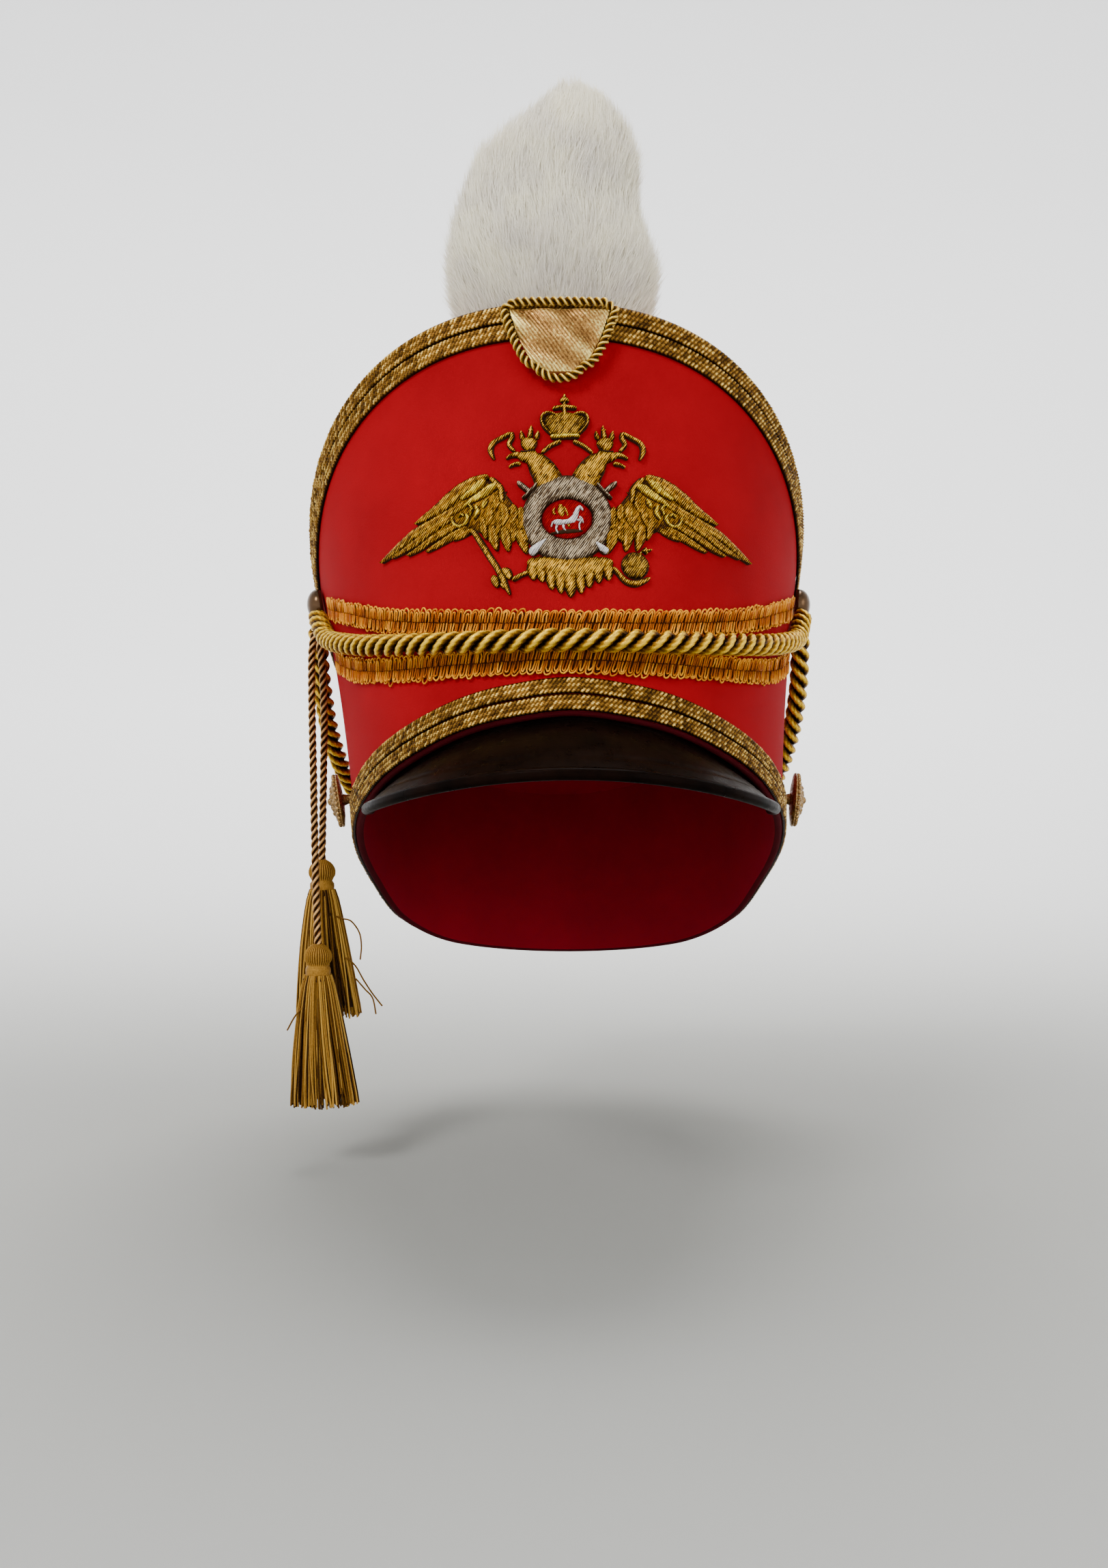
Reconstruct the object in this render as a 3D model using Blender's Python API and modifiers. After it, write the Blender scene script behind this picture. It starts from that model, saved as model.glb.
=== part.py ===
"""Shako hat: tall flared crown with a sloping rim, visor, braid, ropes, tassels, plume and emblem.

Metres, +Z up. The front looks along -Y and +X is the viewer's right. The origin is the middle of
the head opening at the level of the visor's corners. Angles run in degrees from the front, with
+X at 90. A height on the wall runs from 0 at the bottom edge to 1 at the rim.
"""

import math

import bmesh
import bpy
from mathutils import Vector

# Clearance between pieces that touch
GAP = 0.0003

# Crown wall at its bottom edge
BASE_HALF_WIDTH = 0.085
BASE_HALF_DEPTH = 0.103
EDGE_FRONT_Z = 0.0225
EDGE_BACK_Z = -0.082
# Rise of the bottom edge: degrees from the front, share of its back-to-front rise
EDGE_RISE = ((0, 1.0), (14, 0.977), (24, 0.945), (36, 0.885), (52, 0.79), (66, 0.69), (80, 0.59),
             (102, 0.395), (119, 0.205), (143, 0.06), (180, 0.0))

# Crown wall at its rim, which slopes down to the back
RIM_HALF_WIDTH = 0.101
RIM_HALF_DEPTH = 0.105
RIM_SETBACK = 0.025
RIM_HEIGHT = 0.0815
RIM_SLOPE = 0.80
RIM_SQUARENESS = 2.25
RIM_LEAN = -0.005
WALL_THICKNESS = 0.003
WAIST_DEPTH = 0.002
WALL_SEGMENTS = 60
WALL_BANDS = 4
# Search for a place on the front: farthest angle, and how often the range is halved
FRONT_REACH = 85.0
FRONT_HALVINGS = 30

# Top disc, set inside the wall just below the rim
TOP_THICKNESS = 0.0025
TOP_INSET = 0.0015
TOP_DISH = 0.003
TOP_RING_SHARES = (0.5, 1.0)

# Braid along the rim and the bottom edge
TOP_BRAID_WIDTH = 0.0062
EDGE_BRAID_WIDTH = 0.0055
EDGE_BRAID_MARGIN = 0.0015
BRAID_THICKNESS = 0.0016

# Gimps and the rope between them: degrees, then heights of rope, upper and lower gimp as shares
# of the rim's height above the origin
TRIM_HEIGHTS = ((0, 0.565, 0.653, 0.500), (25, 0.571, 0.670, 0.492), (45, 0.600, 0.716, 0.492),
                (60, 0.646, 0.785, 0.520), (72, 0.705, 0.842, 0.580), (82, 0.838, 0.915, 0.650))
GIMP_WIDTH = 0.0095
GIMP_THICKNESS = 0.0016
GIMP_END_ANGLE = 74
GIMP_COLUMNS = 39
ROPE_DIAMETER = 0.008
ROPE_END_ANGLE = 81
ROPE_ON_GIMP_ANGLE = 45
ROPE_ON_WALL_ANGLE = 68
ROPE_POINTS = 21

# Visor
VISOR_THICKNESS = 0.0025
VISOR_FLANGE = 0.008
VISOR_ROOT_ANGLE = 60
VISOR_ROOT_DROP = 0.0010
VISOR_HALF_WIDTH = 0.0735
VISOR_FRONT_Y = -0.140
VISOR_CORNER_Y = -0.052
VISOR_FRONT_Z = 0.0043
VISOR_CORNER_Z = -0.0080
VISOR_CAMBER = 0.035
VISOR_COLUMNS = 24
VISOR_ROW_SHARES = (0.0, 0.33, 0.67, 1.0)
BINDING_DIAMETER = 0.004
BINDING_POINTS = 21

# Cockade below the front of the rim
COCKADE_WIDTH = 0.032
COCKADE_LENGTH = 0.0225
COCKADE_THICKNESS = 0.0025
COCKADE_DROP = 0.0035
COCKADE_TRIM_DIAMETER = 0.0032
COCKADE_TRIM_CLEARANCE = 0.0009
# Outline of the cockade: share of its length above the tip, share of its half width
COCKADE_OUTLINE = ((0.0, 0.22), (0.07, 0.40), (0.20, 0.57), (0.50, 0.78), (0.80, 0.93), (1.0, 1.0))

# Plume behind the front rim
PLUME_HEIGHT = 0.114
PLUME_HALF_WIDTH = 0.0395
PLUME_HALF_DEPTH = 0.023
PLUME_SETBACK = 0.026
PLUME_SIDES = 32
PLUME_LOCKS = 8
PLUME_LOCK_DEPTH = 0.07
PLUME_LOCK_TWIST = 2.6
# Sections of the plume: share of its height, left and right edge as shares of its half width
PLUME_SECTIONS = ((0.0, -0.48, 0.46), (0.04, -0.64, 0.62), (0.12, -0.80, 0.76),
                  (0.20, -0.90, 0.84), (0.27, -0.97, 0.90), (0.37, -1.03, 0.95),
                  (0.45, -1.02, 0.90), (0.54, -0.97, 0.80), (0.62, -0.89, 0.76),
                  (0.70, -0.80, 0.76), (0.76, -0.70, 0.74), (0.83, -0.47, 0.66),
                  (0.90, -0.23, 0.53), (0.95, -0.07, 0.40), (1.0, 0.06, 0.18))

# Clearance under a wide and a narrow flat foot on the curved wall
SEAT = 0.0009
SHANK_SEAT = 0.0005

# Bosses where the ropes end
BOSS_DIAMETER = 0.0136
BOSS_HEIGHT = 0.0062
BOSS_ANGLE = 83
BOSS_Z = 0.0733
# Profile of a boss: share of its radius, share of its height
BOSS_PROFILE = ((0.0, 1.0), (0.35, 0.96), (0.68, 0.80), (0.90, 0.52), (1.0, 0.28), (0.97, 0.10),
                (0.80, 0.0), (0.0, 0.0))

# Buttons at the visor's corners
BUTTON_DIAMETER = 0.022
BUTTON_HEIGHT = 0.0088
BUTTON_ANGLE = 86
BUTTON_Z = -0.006
# Profile of a button with its shank: share of its radius, share of its height
BUTTON_PROFILE = ((0.0, 1.0), (0.40, 0.97), (0.72, 0.87), (0.93, 0.70), (1.0, 0.58), (0.93, 0.48),
                  (0.60, 0.40), (0.22, 0.36), (0.18, 0.20), (0.18, 0.0), (0.0, 0.0))
TURNED_STEPS = 16

# Spacing of a free cord's points, in its diameters
CORD_POINT_SPACING = 2.5
# Free rope behind the crown, hung from boss to boss
BACK_CORD_ROUTE = ((-0.1043, 0.0102, 0.0660), (-0.1040, 0.0125, 0.0560), (-0.1037, 0.0190, 0.0400),
                   (-0.1024, 0.0320, 0.0210), (-0.0988, 0.0490, 0.0040), (-0.0915, 0.0700, -0.0110),
                   (-0.0770, 0.0925, -0.0235), (-0.0560, 0.1110, -0.0325),
                   (-0.0300, 0.1205, -0.0385), (0.0, 0.1232, -0.0405), (0.0285, 0.1205, -0.0385),
                   (0.0540, 0.1110, -0.0325), (0.0735, 0.0925, -0.0235), (0.0870, 0.0700, -0.0110),
                   (0.0934, 0.0490, 0.0040), (0.0962, 0.0320, 0.0210), (0.0971, 0.0190, 0.0400),
                   (0.0966, 0.0125, 0.0560), (0.0963, 0.0102, 0.0660))

# Tassel cords and tassels at the left
TASSEL_CORD_DIAMETER = 0.0032
LONG_CORD_ROUTE = ((-0.1030, -0.0030, 0.0615), (-0.1042, -0.0022, 0.0520),
                   (-0.1042, -0.0018, 0.0300), (-0.1036, -0.0022, 0.0050),
                   (-0.1028, -0.0032, -0.0250), (-0.1018, -0.0048, -0.0500),
                   (-0.1010, -0.0060, -0.0640))
SHORT_CORD_ROUTE = ((-0.1038, 0.0049, 0.0634), (-0.1016, 0.0046, 0.0520), (-0.1006, 0.0055, 0.0300),
                    (-0.1010, 0.0066, 0.0080), (-0.1016, 0.0080, -0.0120),
                    (-0.1022, 0.0094, -0.0310))
TASSEL_HALF_WIDTH = 0.0140
TASSEL_HALF_DEPTH = 0.0080
TASSEL_LEAN = 0.0025
TASSEL_FRONT_LENGTH = 0.065
TASSEL_BACK_LENGTH = 0.065
TASSEL_SIDES = 28
TASSEL_STRIPS = 14
TASSEL_STRIP_DEPTH = 0.07
# Sections of a tassel: share of its length from the top, share of its half width, 1 in the skirt
TASSEL_SECTIONS = ((0.0, 0.12, 0), (0.02, 0.26, 0), (0.06, 0.37, 0), (0.10, 0.37, 0),
                   (0.13, 0.30, 0), (0.155, 0.36, 0), (0.195, 0.36, 0), (0.22, 0.42, 1),
                   (0.40, 0.60, 1), (0.65, 0.80, 1), (0.85, 0.93, 1), (1.0, 1.0, 1))

# Embroidered eagle, drawn round the middle of its ring in shares of its half span
EAGLE_HALF_SPAN = 0.0665
EAGLE_THICKNESS = 0.0022
EAGLE_X = -0.0016
EAGLE_Z = 0.0893
RING_RADIUS = 0.226
RING_HOLE_WIDTH = 0.128
RING_HOLE_HEIGHT = 0.106
RING_SIDES = 28
# Wing: distance out from the middle, upper and lower edge
WING_SECTIONS = ((0.245, 0.083, -0.098), (0.268, 0.089, -0.146), (0.29, 0.095, -0.16),
                 (0.325, 0.102, -0.104), (0.34, 0.181, -0.118), (0.365, 0.212, -0.156),
                 (0.415, 0.244, -0.109), (0.46, 0.242, -0.071), (0.535, 0.204, -0.07),
                 (0.63, 0.159, -0.095), (0.715, 0.101, -0.12), (0.805, 0.024, -0.133),
                 (0.90, -0.066, -0.14), (1.0, -0.139, -0.154))
# Neck and head: outer point, then inner point, of sections from the ring to the beak
NECK_SECTIONS = ((0.165, 0.185, 0.045, 0.235), (0.172, 0.230, 0.058, 0.280),
                 (0.193, 0.262, 0.090, 0.316), (0.218, 0.277, 0.145, 0.352),
                 (0.252, 0.288, 0.208, 0.360), (0.282, 0.300, 0.272, 0.350),
                 (0.315, 0.320, 0.312, 0.334))
# Tail: distance out from the middle, upper and lower edge
TAIL_SECTIONS = ((0.0, -0.235, -0.415), (0.05, -0.235, -0.395), (0.105, -0.235, -0.365),
                 (0.16, -0.230, -0.33), (0.205, -0.225, -0.26))
# Crowns: height above the crown's foot, half width; heights and widths of the large crown
CROWN_SECTIONS = ((0.0, 0.080), (0.032, 0.080), (0.038, 0.088), (0.09, 0.115), (0.125, 0.122),
                  (0.15, 0.09), (0.175, 0.035), (0.225, 0.012))
CROWN_FOOT = 0.43
SMALL_CROWN_SHARE = 0.44
SMALL_CROWN_OUT = 0.175
SMALL_CROWN_FOOT = 0.372
# Ribbon of a small crown: distance out, height
RIBBON_ROUTE = ((0.262, 0.375), (0.305, 0.395), (0.295, 0.440), (0.330, 0.443), (0.372, 0.420),
                (0.398, 0.385), (0.400, 0.345), (0.380, 0.315))
RIBBON_WIDTH = 0.022
# Sword hilt: its two ends and width
SWORD_ENDS = (0.262, 0.205, 0.188, 0.148)
SWORD_WIDTH = 0.026
# Sceptre with the claw round it: point on its line, width to the left and to the right
SCEPTRE_SECTIONS = ((-0.470, -0.118, 0.012, 0.012), (-0.388, -0.262, 0.012, 0.012),
                    (-0.374, -0.287, 0.050, 0.012), (-0.352, -0.326, 0.058, 0.012),
                    (-0.334, -0.358, 0.045, 0.012), (-0.318, -0.386, 0.012, 0.012),
                    (-0.296, -0.424, 0.008, 0.008))
# Legs: ends of each leg's line and width
LEG_LEFT_ENDS = (-0.220, -0.290, -0.306, -0.318)
LEG_RIGHT_ENDS = (0.216, -0.262, 0.246, -0.284)
LEG_WIDTH = 0.034
ORB_PLACE = (0.347, -0.270)
ORB_RADIUS = 0.078
DISC_COLUMNS = (-0.985, -0.8, -0.5, -0.17, 0.17, 0.5, 0.8, 0.985)

# Colour, roughness and metallic value of each material
FINISHES = {
    "red_cloth": ((0.44, 0.008, 0.006), 0.85, 0.0),
    "antique_braid": ((0.30, 0.17, 0.05), 0.45, 0.6),
    "patent_leather": ((0.008, 0.007, 0.007), 0.2, 0.0),
    "gold_lame": ((0.50, 0.26, 0.10), 0.35, 0.7),
    "bright_gold": ((0.60, 0.36, 0.06), 0.35, 0.8),
    "white_fur": ((0.72, 0.69, 0.62), 0.9, 0.0),
    "orange_gimp": ((0.52, 0.20, 0.02), 0.6, 0.2),
    "gold_rope": ((0.34, 0.22, 0.03), 0.4, 0.5),
    "bronze": ((0.10, 0.06, 0.03), 0.3, 0.9),
    "gold_tassel": ((0.45, 0.24, 0.05), 0.6, 0.2),
    "gold_thread": ((0.46, 0.24, 0.03), 0.4, 0.5),
    "silver_thread": ((0.36, 0.30, 0.24), 0.4, 0.5),
    "red_thread": ((0.35, 0.01, 0.01), 0.7, 0.0),
}


def clear_scene():
    """Remove what the scene holds."""
    for thing in list(bpy.data.objects):
        bpy.data.objects.remove(thing, do_unlink=True)


def make_materials():
    """One Principled material for each finish."""
    materials = {}
    for name, (colour, roughness, metallic) in FINISHES.items():
        material = bpy.data.materials.new(name)
        material.use_nodes = True
        shader = material.node_tree.nodes["Principled BSDF"]
        shader.inputs["Base Color"].default_value = (*colour, 1.0)
        shader.inputs["Roughness"].default_value = roughness
        shader.inputs["Metallic"].default_value = metallic
        materials[name] = material
    return materials


def make_collection(name):
    """A collection of that name in the scene."""
    collection = bpy.data.collections.new(name)
    bpy.context.scene.collection.children.link(collection)
    return collection


def smooth_value(rows, column, place):
    """Value of a table's column at a place in its first column, on a smooth curve."""
    if place <= rows[0][0]:
        return rows[0][column]
    for index in range(len(rows) - 1):
        start, end = rows[index], rows[index + 1]
        if place <= end[0]:
            before = rows[max(index - 1, 0)]
            after = rows[min(index + 2, len(rows) - 1)]
            width = end[0] - start[0]
            slope_in = 0.0 if index == 0 else (end[column] - before[column]) / (end[0] - before[0])
            last = index + 2 >= len(rows)
            slope_out = 0.0 if last else (after[column] - start[column]) / (after[0] - start[0])
            share = (place - start[0]) / width
            rise = end[column] - start[column]
            ease = 3 * share**2 - 2 * share**3
            lead = share * (1 - share) ** 2 * slope_in * width
            tail = share**2 * (1 - share) * slope_out * width
            return start[column] + rise * ease + lead - tail
    return rows[-1][column]


def signed_power(value, power):
    """Power of a value's size, with the value's own sign."""
    return math.copysign(abs(value) ** power, value)


def edge_point(angle):
    """Point of the wall's bottom edge."""
    turn = math.radians(angle)
    from_front = abs((angle + 180) % 360 - 180)
    rise = smooth_value(EDGE_RISE, 1, from_front)
    return Vector((BASE_HALF_WIDTH * math.sin(turn), -BASE_HALF_DEPTH * math.cos(turn),
                   EDGE_BACK_Z + (EDGE_FRONT_Z - EDGE_BACK_Z) * rise))


def rim_point(angle):
    """Point of the wall's rim."""
    turn = math.radians(angle)
    power = 2 / RIM_SQUARENESS
    across = RIM_HALF_WIDTH * signed_power(math.sin(turn), power)
    along = -RIM_HALF_DEPTH * signed_power(math.cos(turn), power)
    return Vector((RIM_LEAN + across, RIM_SETBACK + along, RIM_HEIGHT - RIM_SLOPE * along))


def wall_length(angle):
    """Distance up the wall from the bottom edge to the rim."""
    return (rim_point(angle) - edge_point(angle)).length


def outward(angle, height):
    """Direction out of the wall."""
    step = 0.5
    ahead = edge_point(angle + step).lerp(rim_point(angle + step), height)
    behind = edge_point(angle - step).lerp(rim_point(angle - step), height)
    up = rim_point(angle) - edge_point(angle)
    return (ahead - behind).cross(up).normalized()


def wall_point(angle, height, out=0.0):
    """Point at a distance out from the wall's outer face, which has a slight waist."""
    waist = WAIST_DEPTH * 4 * height * (1 - height)
    plain = edge_point(angle).lerp(rim_point(angle), height)
    return plain + outward(angle, height) * (out - waist)


def height_at_level(angle, level):
    """Height on the wall that lies at a level Z."""
    low, high = edge_point(angle).z, rim_point(angle).z
    return (level - low) / (high - low)


def front_point(across, level, out):
    """Point over the front of the wall, from its place in the front view."""
    low, high = -FRONT_REACH, FRONT_REACH
    for _ in range(FRONT_HALVINGS):
        angle = (low + high) / 2
        if wall_point(angle, height_at_level(angle, level), out).x < across:
            low = angle
        else:
            high = angle
    return wall_point(angle, height_at_level(angle, level), out)


def spread(start, end, count):
    """Evenly spread values, both ends with them."""
    return [start + (end - start) * index / (count - 1) for index in range(count)]


def around(count):
    """Angles of a whole turn."""
    return [360 * index / count for index in range(count)]


def smooth_route(route, spacing):
    """Points at a spacing along the smooth curve through a route."""
    points = [Vector(point) for point in route]
    ends = [points[0] * 2 - points[1]] + points + [points[-1] * 2 - points[-2]]
    fine = []
    for before, start, end, after in zip(ends, ends[1:], ends[2:], ends[3:]):
        for share in spread(0.0, 0.95, 20):
            pull = (end - before) * share + (before * 2 - start * 5 + end * 4 - after) * share**2
            fine.append(start + (pull + (start * 3 - before - end * 3 + after) * share**3) / 2)
    fine.append(points[-1])
    length = sum((b - a).length for a, b in zip(fine, fine[1:]))
    count = max(round(length / spacing), 2)
    marks = [length * index / count for index in range(1, count)]
    result, travelled = [fine[0]], 0.0
    for a, b in zip(fine, fine[1:]):
        step = (b - a).length
        while marks and travelled + step >= marks[0]:
            result.append(a.lerp(b, (marks.pop(0) - travelled) / step))
        travelled += step
    return result + [fine[-1]]


class Hat:
    """Puts named pieces into the hat's collection."""

    def __init__(self):
        self.collection = make_collection("shako_hat")
        self.materials = make_materials()

    def add(self, name, data, finish):
        thing = bpy.data.objects.new(name, data)
        data.materials.append(self.materials[finish])
        self.collection.objects.link(thing)
        return thing

    def loft(self, name, rows, closed, finish, caps=()):
        """Skin rows of points; a capped row is closed by a fan to its middle."""
        shape = bmesh.new()
        grid = [[shape.verts.new(point) for point in row] for row in rows]
        count = len(rows[0])
        for lower, upper in zip(grid, grid[1:]):
            for index in range(count if closed else count - 1):
                after = (index + 1) % count
                shape.faces.new((lower[index], lower[after], upper[after], upper[index]))
        for end in caps:
            row = grid[end]
            middle = shape.verts.new(sum((vert.co for vert in row), Vector()) / count)
            for index in range(count):
                pair = (row[index], row[(index + 1) % count])
                shape.faces.new((middle, *(pair if end else pair[::-1])))
        mesh = bpy.data.meshes.new(name)
        shape.to_mesh(mesh)
        shape.free()
        mesh.shade_smooth()
        mesh.set_sharp_from_angle(angle=math.radians(40))
        return self.add(name, mesh, finish)

    def sheet(self, name, rows, closed, thickness, finish, side=1, caps=()):
        """Skin rows of points and give the skin a thickness out of its face, or in with -1."""
        thing = self.loft(name, rows, closed, finish, caps)
        solid = thing.modifiers.new("thickness", "SOLIDIFY")
        solid.thickness = thickness
        solid.offset = side
        solid.use_even_offset = closed
        return thing

    def tube(self, name, points, diameter, finish, ring=False):
        """Round bar along points."""
        curve = bpy.data.curves.new(name, "CURVE")
        curve.dimensions = "3D"
        curve.bevel_depth = diameter / 2
        curve.bevel_resolution = 2
        curve.use_fill_caps = not ring
        spline = curve.splines.new("POLY")
        spline.points.add(len(points) - 1)
        for target, point in zip(spline.points, points):
            target.co = (*point, 1.0)
        spline.use_cyclic_u = ring
        return self.add(name, curve, finish)

    def turned(self, name, profile, radius, height, finish):
        """Turned piece from a table of radius and height shares."""
        mesh = bpy.data.meshes.new(name)
        points = [(radius * out, 0.0, height * up) for out, up in profile]
        edges = [(index, index + 1) for index in range(len(points) - 1)]
        mesh.from_pydata(points, edges, [])
        thing = self.add(name, mesh, finish)
        screw = thing.modifiers.new("turn", "SCREW")
        screw.steps = TURNED_STEPS
        screw.render_steps = TURNED_STEPS
        screw.use_merge_vertices = True
        screw.merge_threshold = 0.00001
        screw.use_smooth_shade = True
        return thing


def stand_on_wall(thing, angle, height, out):
    """Put a turned piece on the wall with its axis out of the wall."""
    thing.location = wall_point(angle, height, out)
    thing.rotation_euler = outward(angle, height).to_track_quat("Z", "Y").to_euler()


def make_crown(hat):
    """Wall and top disc."""
    angles = around(WALL_SEGMENTS)
    rows = [[wall_point(angle, band / WALL_BANDS) for angle in angles]
            for band in range(WALL_BANDS + 1)]
    hat.sheet("crown_wall", rows, True, WALL_THICKNESS, "red_cloth", side=-1)
    rings = [[top_point(angle, share) for angle in angles] for share in TOP_RING_SHARES]
    under = [[top_point(angle, share, TOP_THICKNESS) for angle in angles]
             for share in TOP_RING_SHARES]
    hat.loft("crown_top", under + rings[::-1], True, "red_cloth", caps=(0, -1))


def top_point(angle, share, down=0.0):
    """Point of the top disc, at a share of the way from its middle to the wall."""
    level = 1 - (TOP_INSET + down) / wall_length(angle)
    edge = wall_point(angle, level, -(WALL_THICKNESS + GAP))
    middle = Vector((RIM_LEAN, RIM_SETBACK, RIM_HEIGHT - TOP_INSET - TOP_DISH - down))
    point = middle.lerp(edge, share)
    bend = TOP_DISH * (share - share**2)
    return point - Vector((0, 0, bend))


def make_band(hat, name, low, high, out, thickness, angles, closed, finish):
    """Band on the wall between two height functions of the angle."""
    rows = [[wall_point(angle, level(angle), out) for angle in angles] for level in (low, high)]
    return hat.sheet(name, rows, closed, thickness, finish)


def make_braids(hat):
    """Two rows of braid at the rim and two at the bottom edge."""
    angles = around(WALL_SEGMENTS)
    for row, name in enumerate(("top_braid_upper", "top_braid_lower")):
        down = row * (TOP_BRAID_WIDTH + GAP)
        high = lambda angle, down=down: 1 - down / wall_length(angle)
        low = lambda angle, down=down: 1 - (down + TOP_BRAID_WIDTH) / wall_length(angle)
        make_band(hat, name, low, high, GAP, BRAID_THICKNESS, angles, True, "antique_braid")
    for row, name in enumerate(("edge_braid_lower", "edge_braid_upper")):
        up = EDGE_BRAID_MARGIN + row * (EDGE_BRAID_WIDTH + GAP)
        low = lambda angle, up=up: up / wall_length(angle)
        high = lambda angle, up=up: (up + EDGE_BRAID_WIDTH) / wall_length(angle)
        make_band(hat, name, low, high, GAP, BRAID_THICKNESS, angles, True, "antique_braid")


def trim_level(angle, column):
    """Level of the rope or a gimp at an angle."""
    return RIM_HEIGHT * smooth_value(TRIM_HEIGHTS, column, abs(angle))


def make_gimps(hat):
    """Two gimp braids across the front."""
    angles = spread(-GIMP_END_ANGLE, GIMP_END_ANGLE, GIMP_COLUMNS)
    for column, name in ((2, "gimp_upper"), (3, "gimp_lower")):
        half = GIMP_WIDTH / 2
        low = lambda angle, c=column: height_at_level(angle, trim_level(angle, c) - half)
        high = lambda angle, c=column: height_at_level(angle, trim_level(angle, c) + half)
        make_band(hat, name, low, high, GAP, GIMP_THICKNESS, angles, False, "orange_gimp")


def rope_stand_off(angle):
    """Distance of the rope's middle from the wall: over the gimps in front, on the wall beside."""
    on_wall = GAP + ROPE_DIAMETER / 2
    share = (abs(angle) - ROPE_ON_GIMP_ANGLE) / (ROPE_ON_WALL_ANGLE - ROPE_ON_GIMP_ANGLE)
    share = min(max(share, 0.0), 1.0)
    return on_wall + (GIMP_THICKNESS + GAP) * (1 - share)


def make_ropes(hat):
    """Rope tacked across the front and the free swag behind."""
    points = []
    for angle in spread(-ROPE_END_ANGLE, ROPE_END_ANGLE, ROPE_POINTS):
        height = height_at_level(angle, trim_level(angle, 1))
        points.append(wall_point(angle, height, rope_stand_off(angle)))
    hat.tube("front_cord", points, ROPE_DIAMETER, "gold_rope")
    route = smooth_route(BACK_CORD_ROUTE, CORD_POINT_SPACING * ROPE_DIAMETER)
    hat.tube("back_cord", route, ROPE_DIAMETER, "gold_rope")


def make_bosses(hat):
    """Domed bosses and shank buttons on both sides."""
    for side, name in ((-1, "left"), (1, "right")):
        boss = hat.turned("boss_" + name, BOSS_PROFILE, BOSS_DIAMETER / 2, BOSS_HEIGHT, "bronze")
        angle = side * BOSS_ANGLE
        stand_on_wall(boss, angle, height_at_level(angle, BOSS_Z), SEAT)
        button = hat.turned("button_" + name, BUTTON_PROFILE, BUTTON_DIAMETER / 2, BUTTON_HEIGHT,
                            "bright_gold")
        angle = side * BUTTON_ANGLE
        stand_on_wall(button, angle, height_at_level(angle, BUTTON_Z), SHANK_SEAT)


def binding_point(share):
    """Point of the visor's rolled edge, with the share from -1 at one corner to 1 at the other."""
    turn = share * math.pi / 2
    across = math.sin(turn)
    return Vector((VISOR_HALF_WIDTH * across,
                   VISOR_CORNER_Y + (VISOR_FRONT_Y - VISOR_CORNER_Y) * math.cos(turn),
                   VISOR_FRONT_Z + (VISOR_CORNER_Z - VISOR_FRONT_Z) * across**2))


def make_visor(hat):
    """Leather peak with its flange inside the wall, and its rolled edge."""
    shares = spread(-1.0, 1.0, VISOR_COLUMNS + 1)
    inside = -(WALL_THICKNESS + GAP)
    flange, rows = [], [[] for _ in VISOR_ROW_SHARES]
    for share in shares:
        angle = share * VISOR_ROOT_ANGLE
        up = VISOR_FLANGE / wall_length(angle)
        drop = VISOR_ROOT_DROP / wall_length(angle)
        flange.append(wall_point(angle, up, inside))
        root = wall_point(angle, -drop, inside)
        edge = binding_point(share)
        edge = edge + (root - edge).normalized() * (BINDING_DIAMETER / 2 + GAP)
        width = (edge - root).length
        for row, part in zip(rows, VISOR_ROW_SHARES):
            camber = Vector((0, 0, VISOR_CAMBER * width * 4 * part * (1 - part)))
            row.append(root.lerp(edge, part) + camber)
    hat.sheet("visor", [flange] + rows, False, VISOR_THICKNESS, "patent_leather")
    down = Vector((0, 0, -VISOR_THICKNESS / 2))
    points = [binding_point(share) + down for share in spread(-1.0, 1.0, BINDING_POINTS)]
    hat.tube("visor_binding", points, BINDING_DIAMETER, "patent_leather")


def cockade_point(across, along, out):
    """Point on the cockade: distances across and above its tip, and out from the wall."""
    height = 1 - (COCKADE_DROP + COCKADE_LENGTH - along) / wall_length(0)
    middle = wall_point(0, height)
    return front_point(middle.x + across, middle.z, out)


def outline_around(outline, margin):
    """Closed outline at a margin outside the given one, which runs anticlockwise."""
    result = []
    for index, point in enumerate(outline):
        before = (point - outline[index - 1]).normalized()
        after = (outline[(index + 1) % len(outline)] - point).normalized()
        corner = Vector((before.y + after.y, -before.x - after.x)).normalized()
        facing = max(corner.dot(Vector((before.y, -before.x))), 0.6)
        result.append(point + corner * margin / facing)
    return result


def make_cockade(hat):
    """Padded shield and the tube of trim round it."""
    out = 2 * GAP + BRAID_THICKNESS
    half = COCKADE_WIDTH / 2
    rows = []
    for up, wide in COCKADE_OUTLINE:
        row = []
        for share in spread(-1.0, 1.0, 7):
            padding = COCKADE_THICKNESS / 2 * (1 - share**2) * 4 * up * (1 - up)
            row.append(cockade_point(share * wide * half, up * COCKADE_LENGTH, out + padding))
        rows.append(row)
    hat.sheet("cockade", rows, False, COCKADE_THICKNESS, "gold_lame")

    radius = COCKADE_TRIM_DIAMETER / 2
    right = [Vector((wide * half, up * COCKADE_LENGTH)) for up, wide in COCKADE_OUTLINE]
    top = [Vector((half * share, COCKADE_LENGTH)) for share in (0.5, 0.0, -0.5)]
    left = [Vector((-point.x, point.y)) for point in reversed(right)]
    loop = outline_around(right + top + left, radius + COCKADE_TRIM_CLEARANCE)
    points = [cockade_point(across, along, out + radius) for across, along in loop]
    hat.tube("cockade_trim", points, COCKADE_TRIM_DIAMETER, "bright_gold", ring=True)


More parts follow.
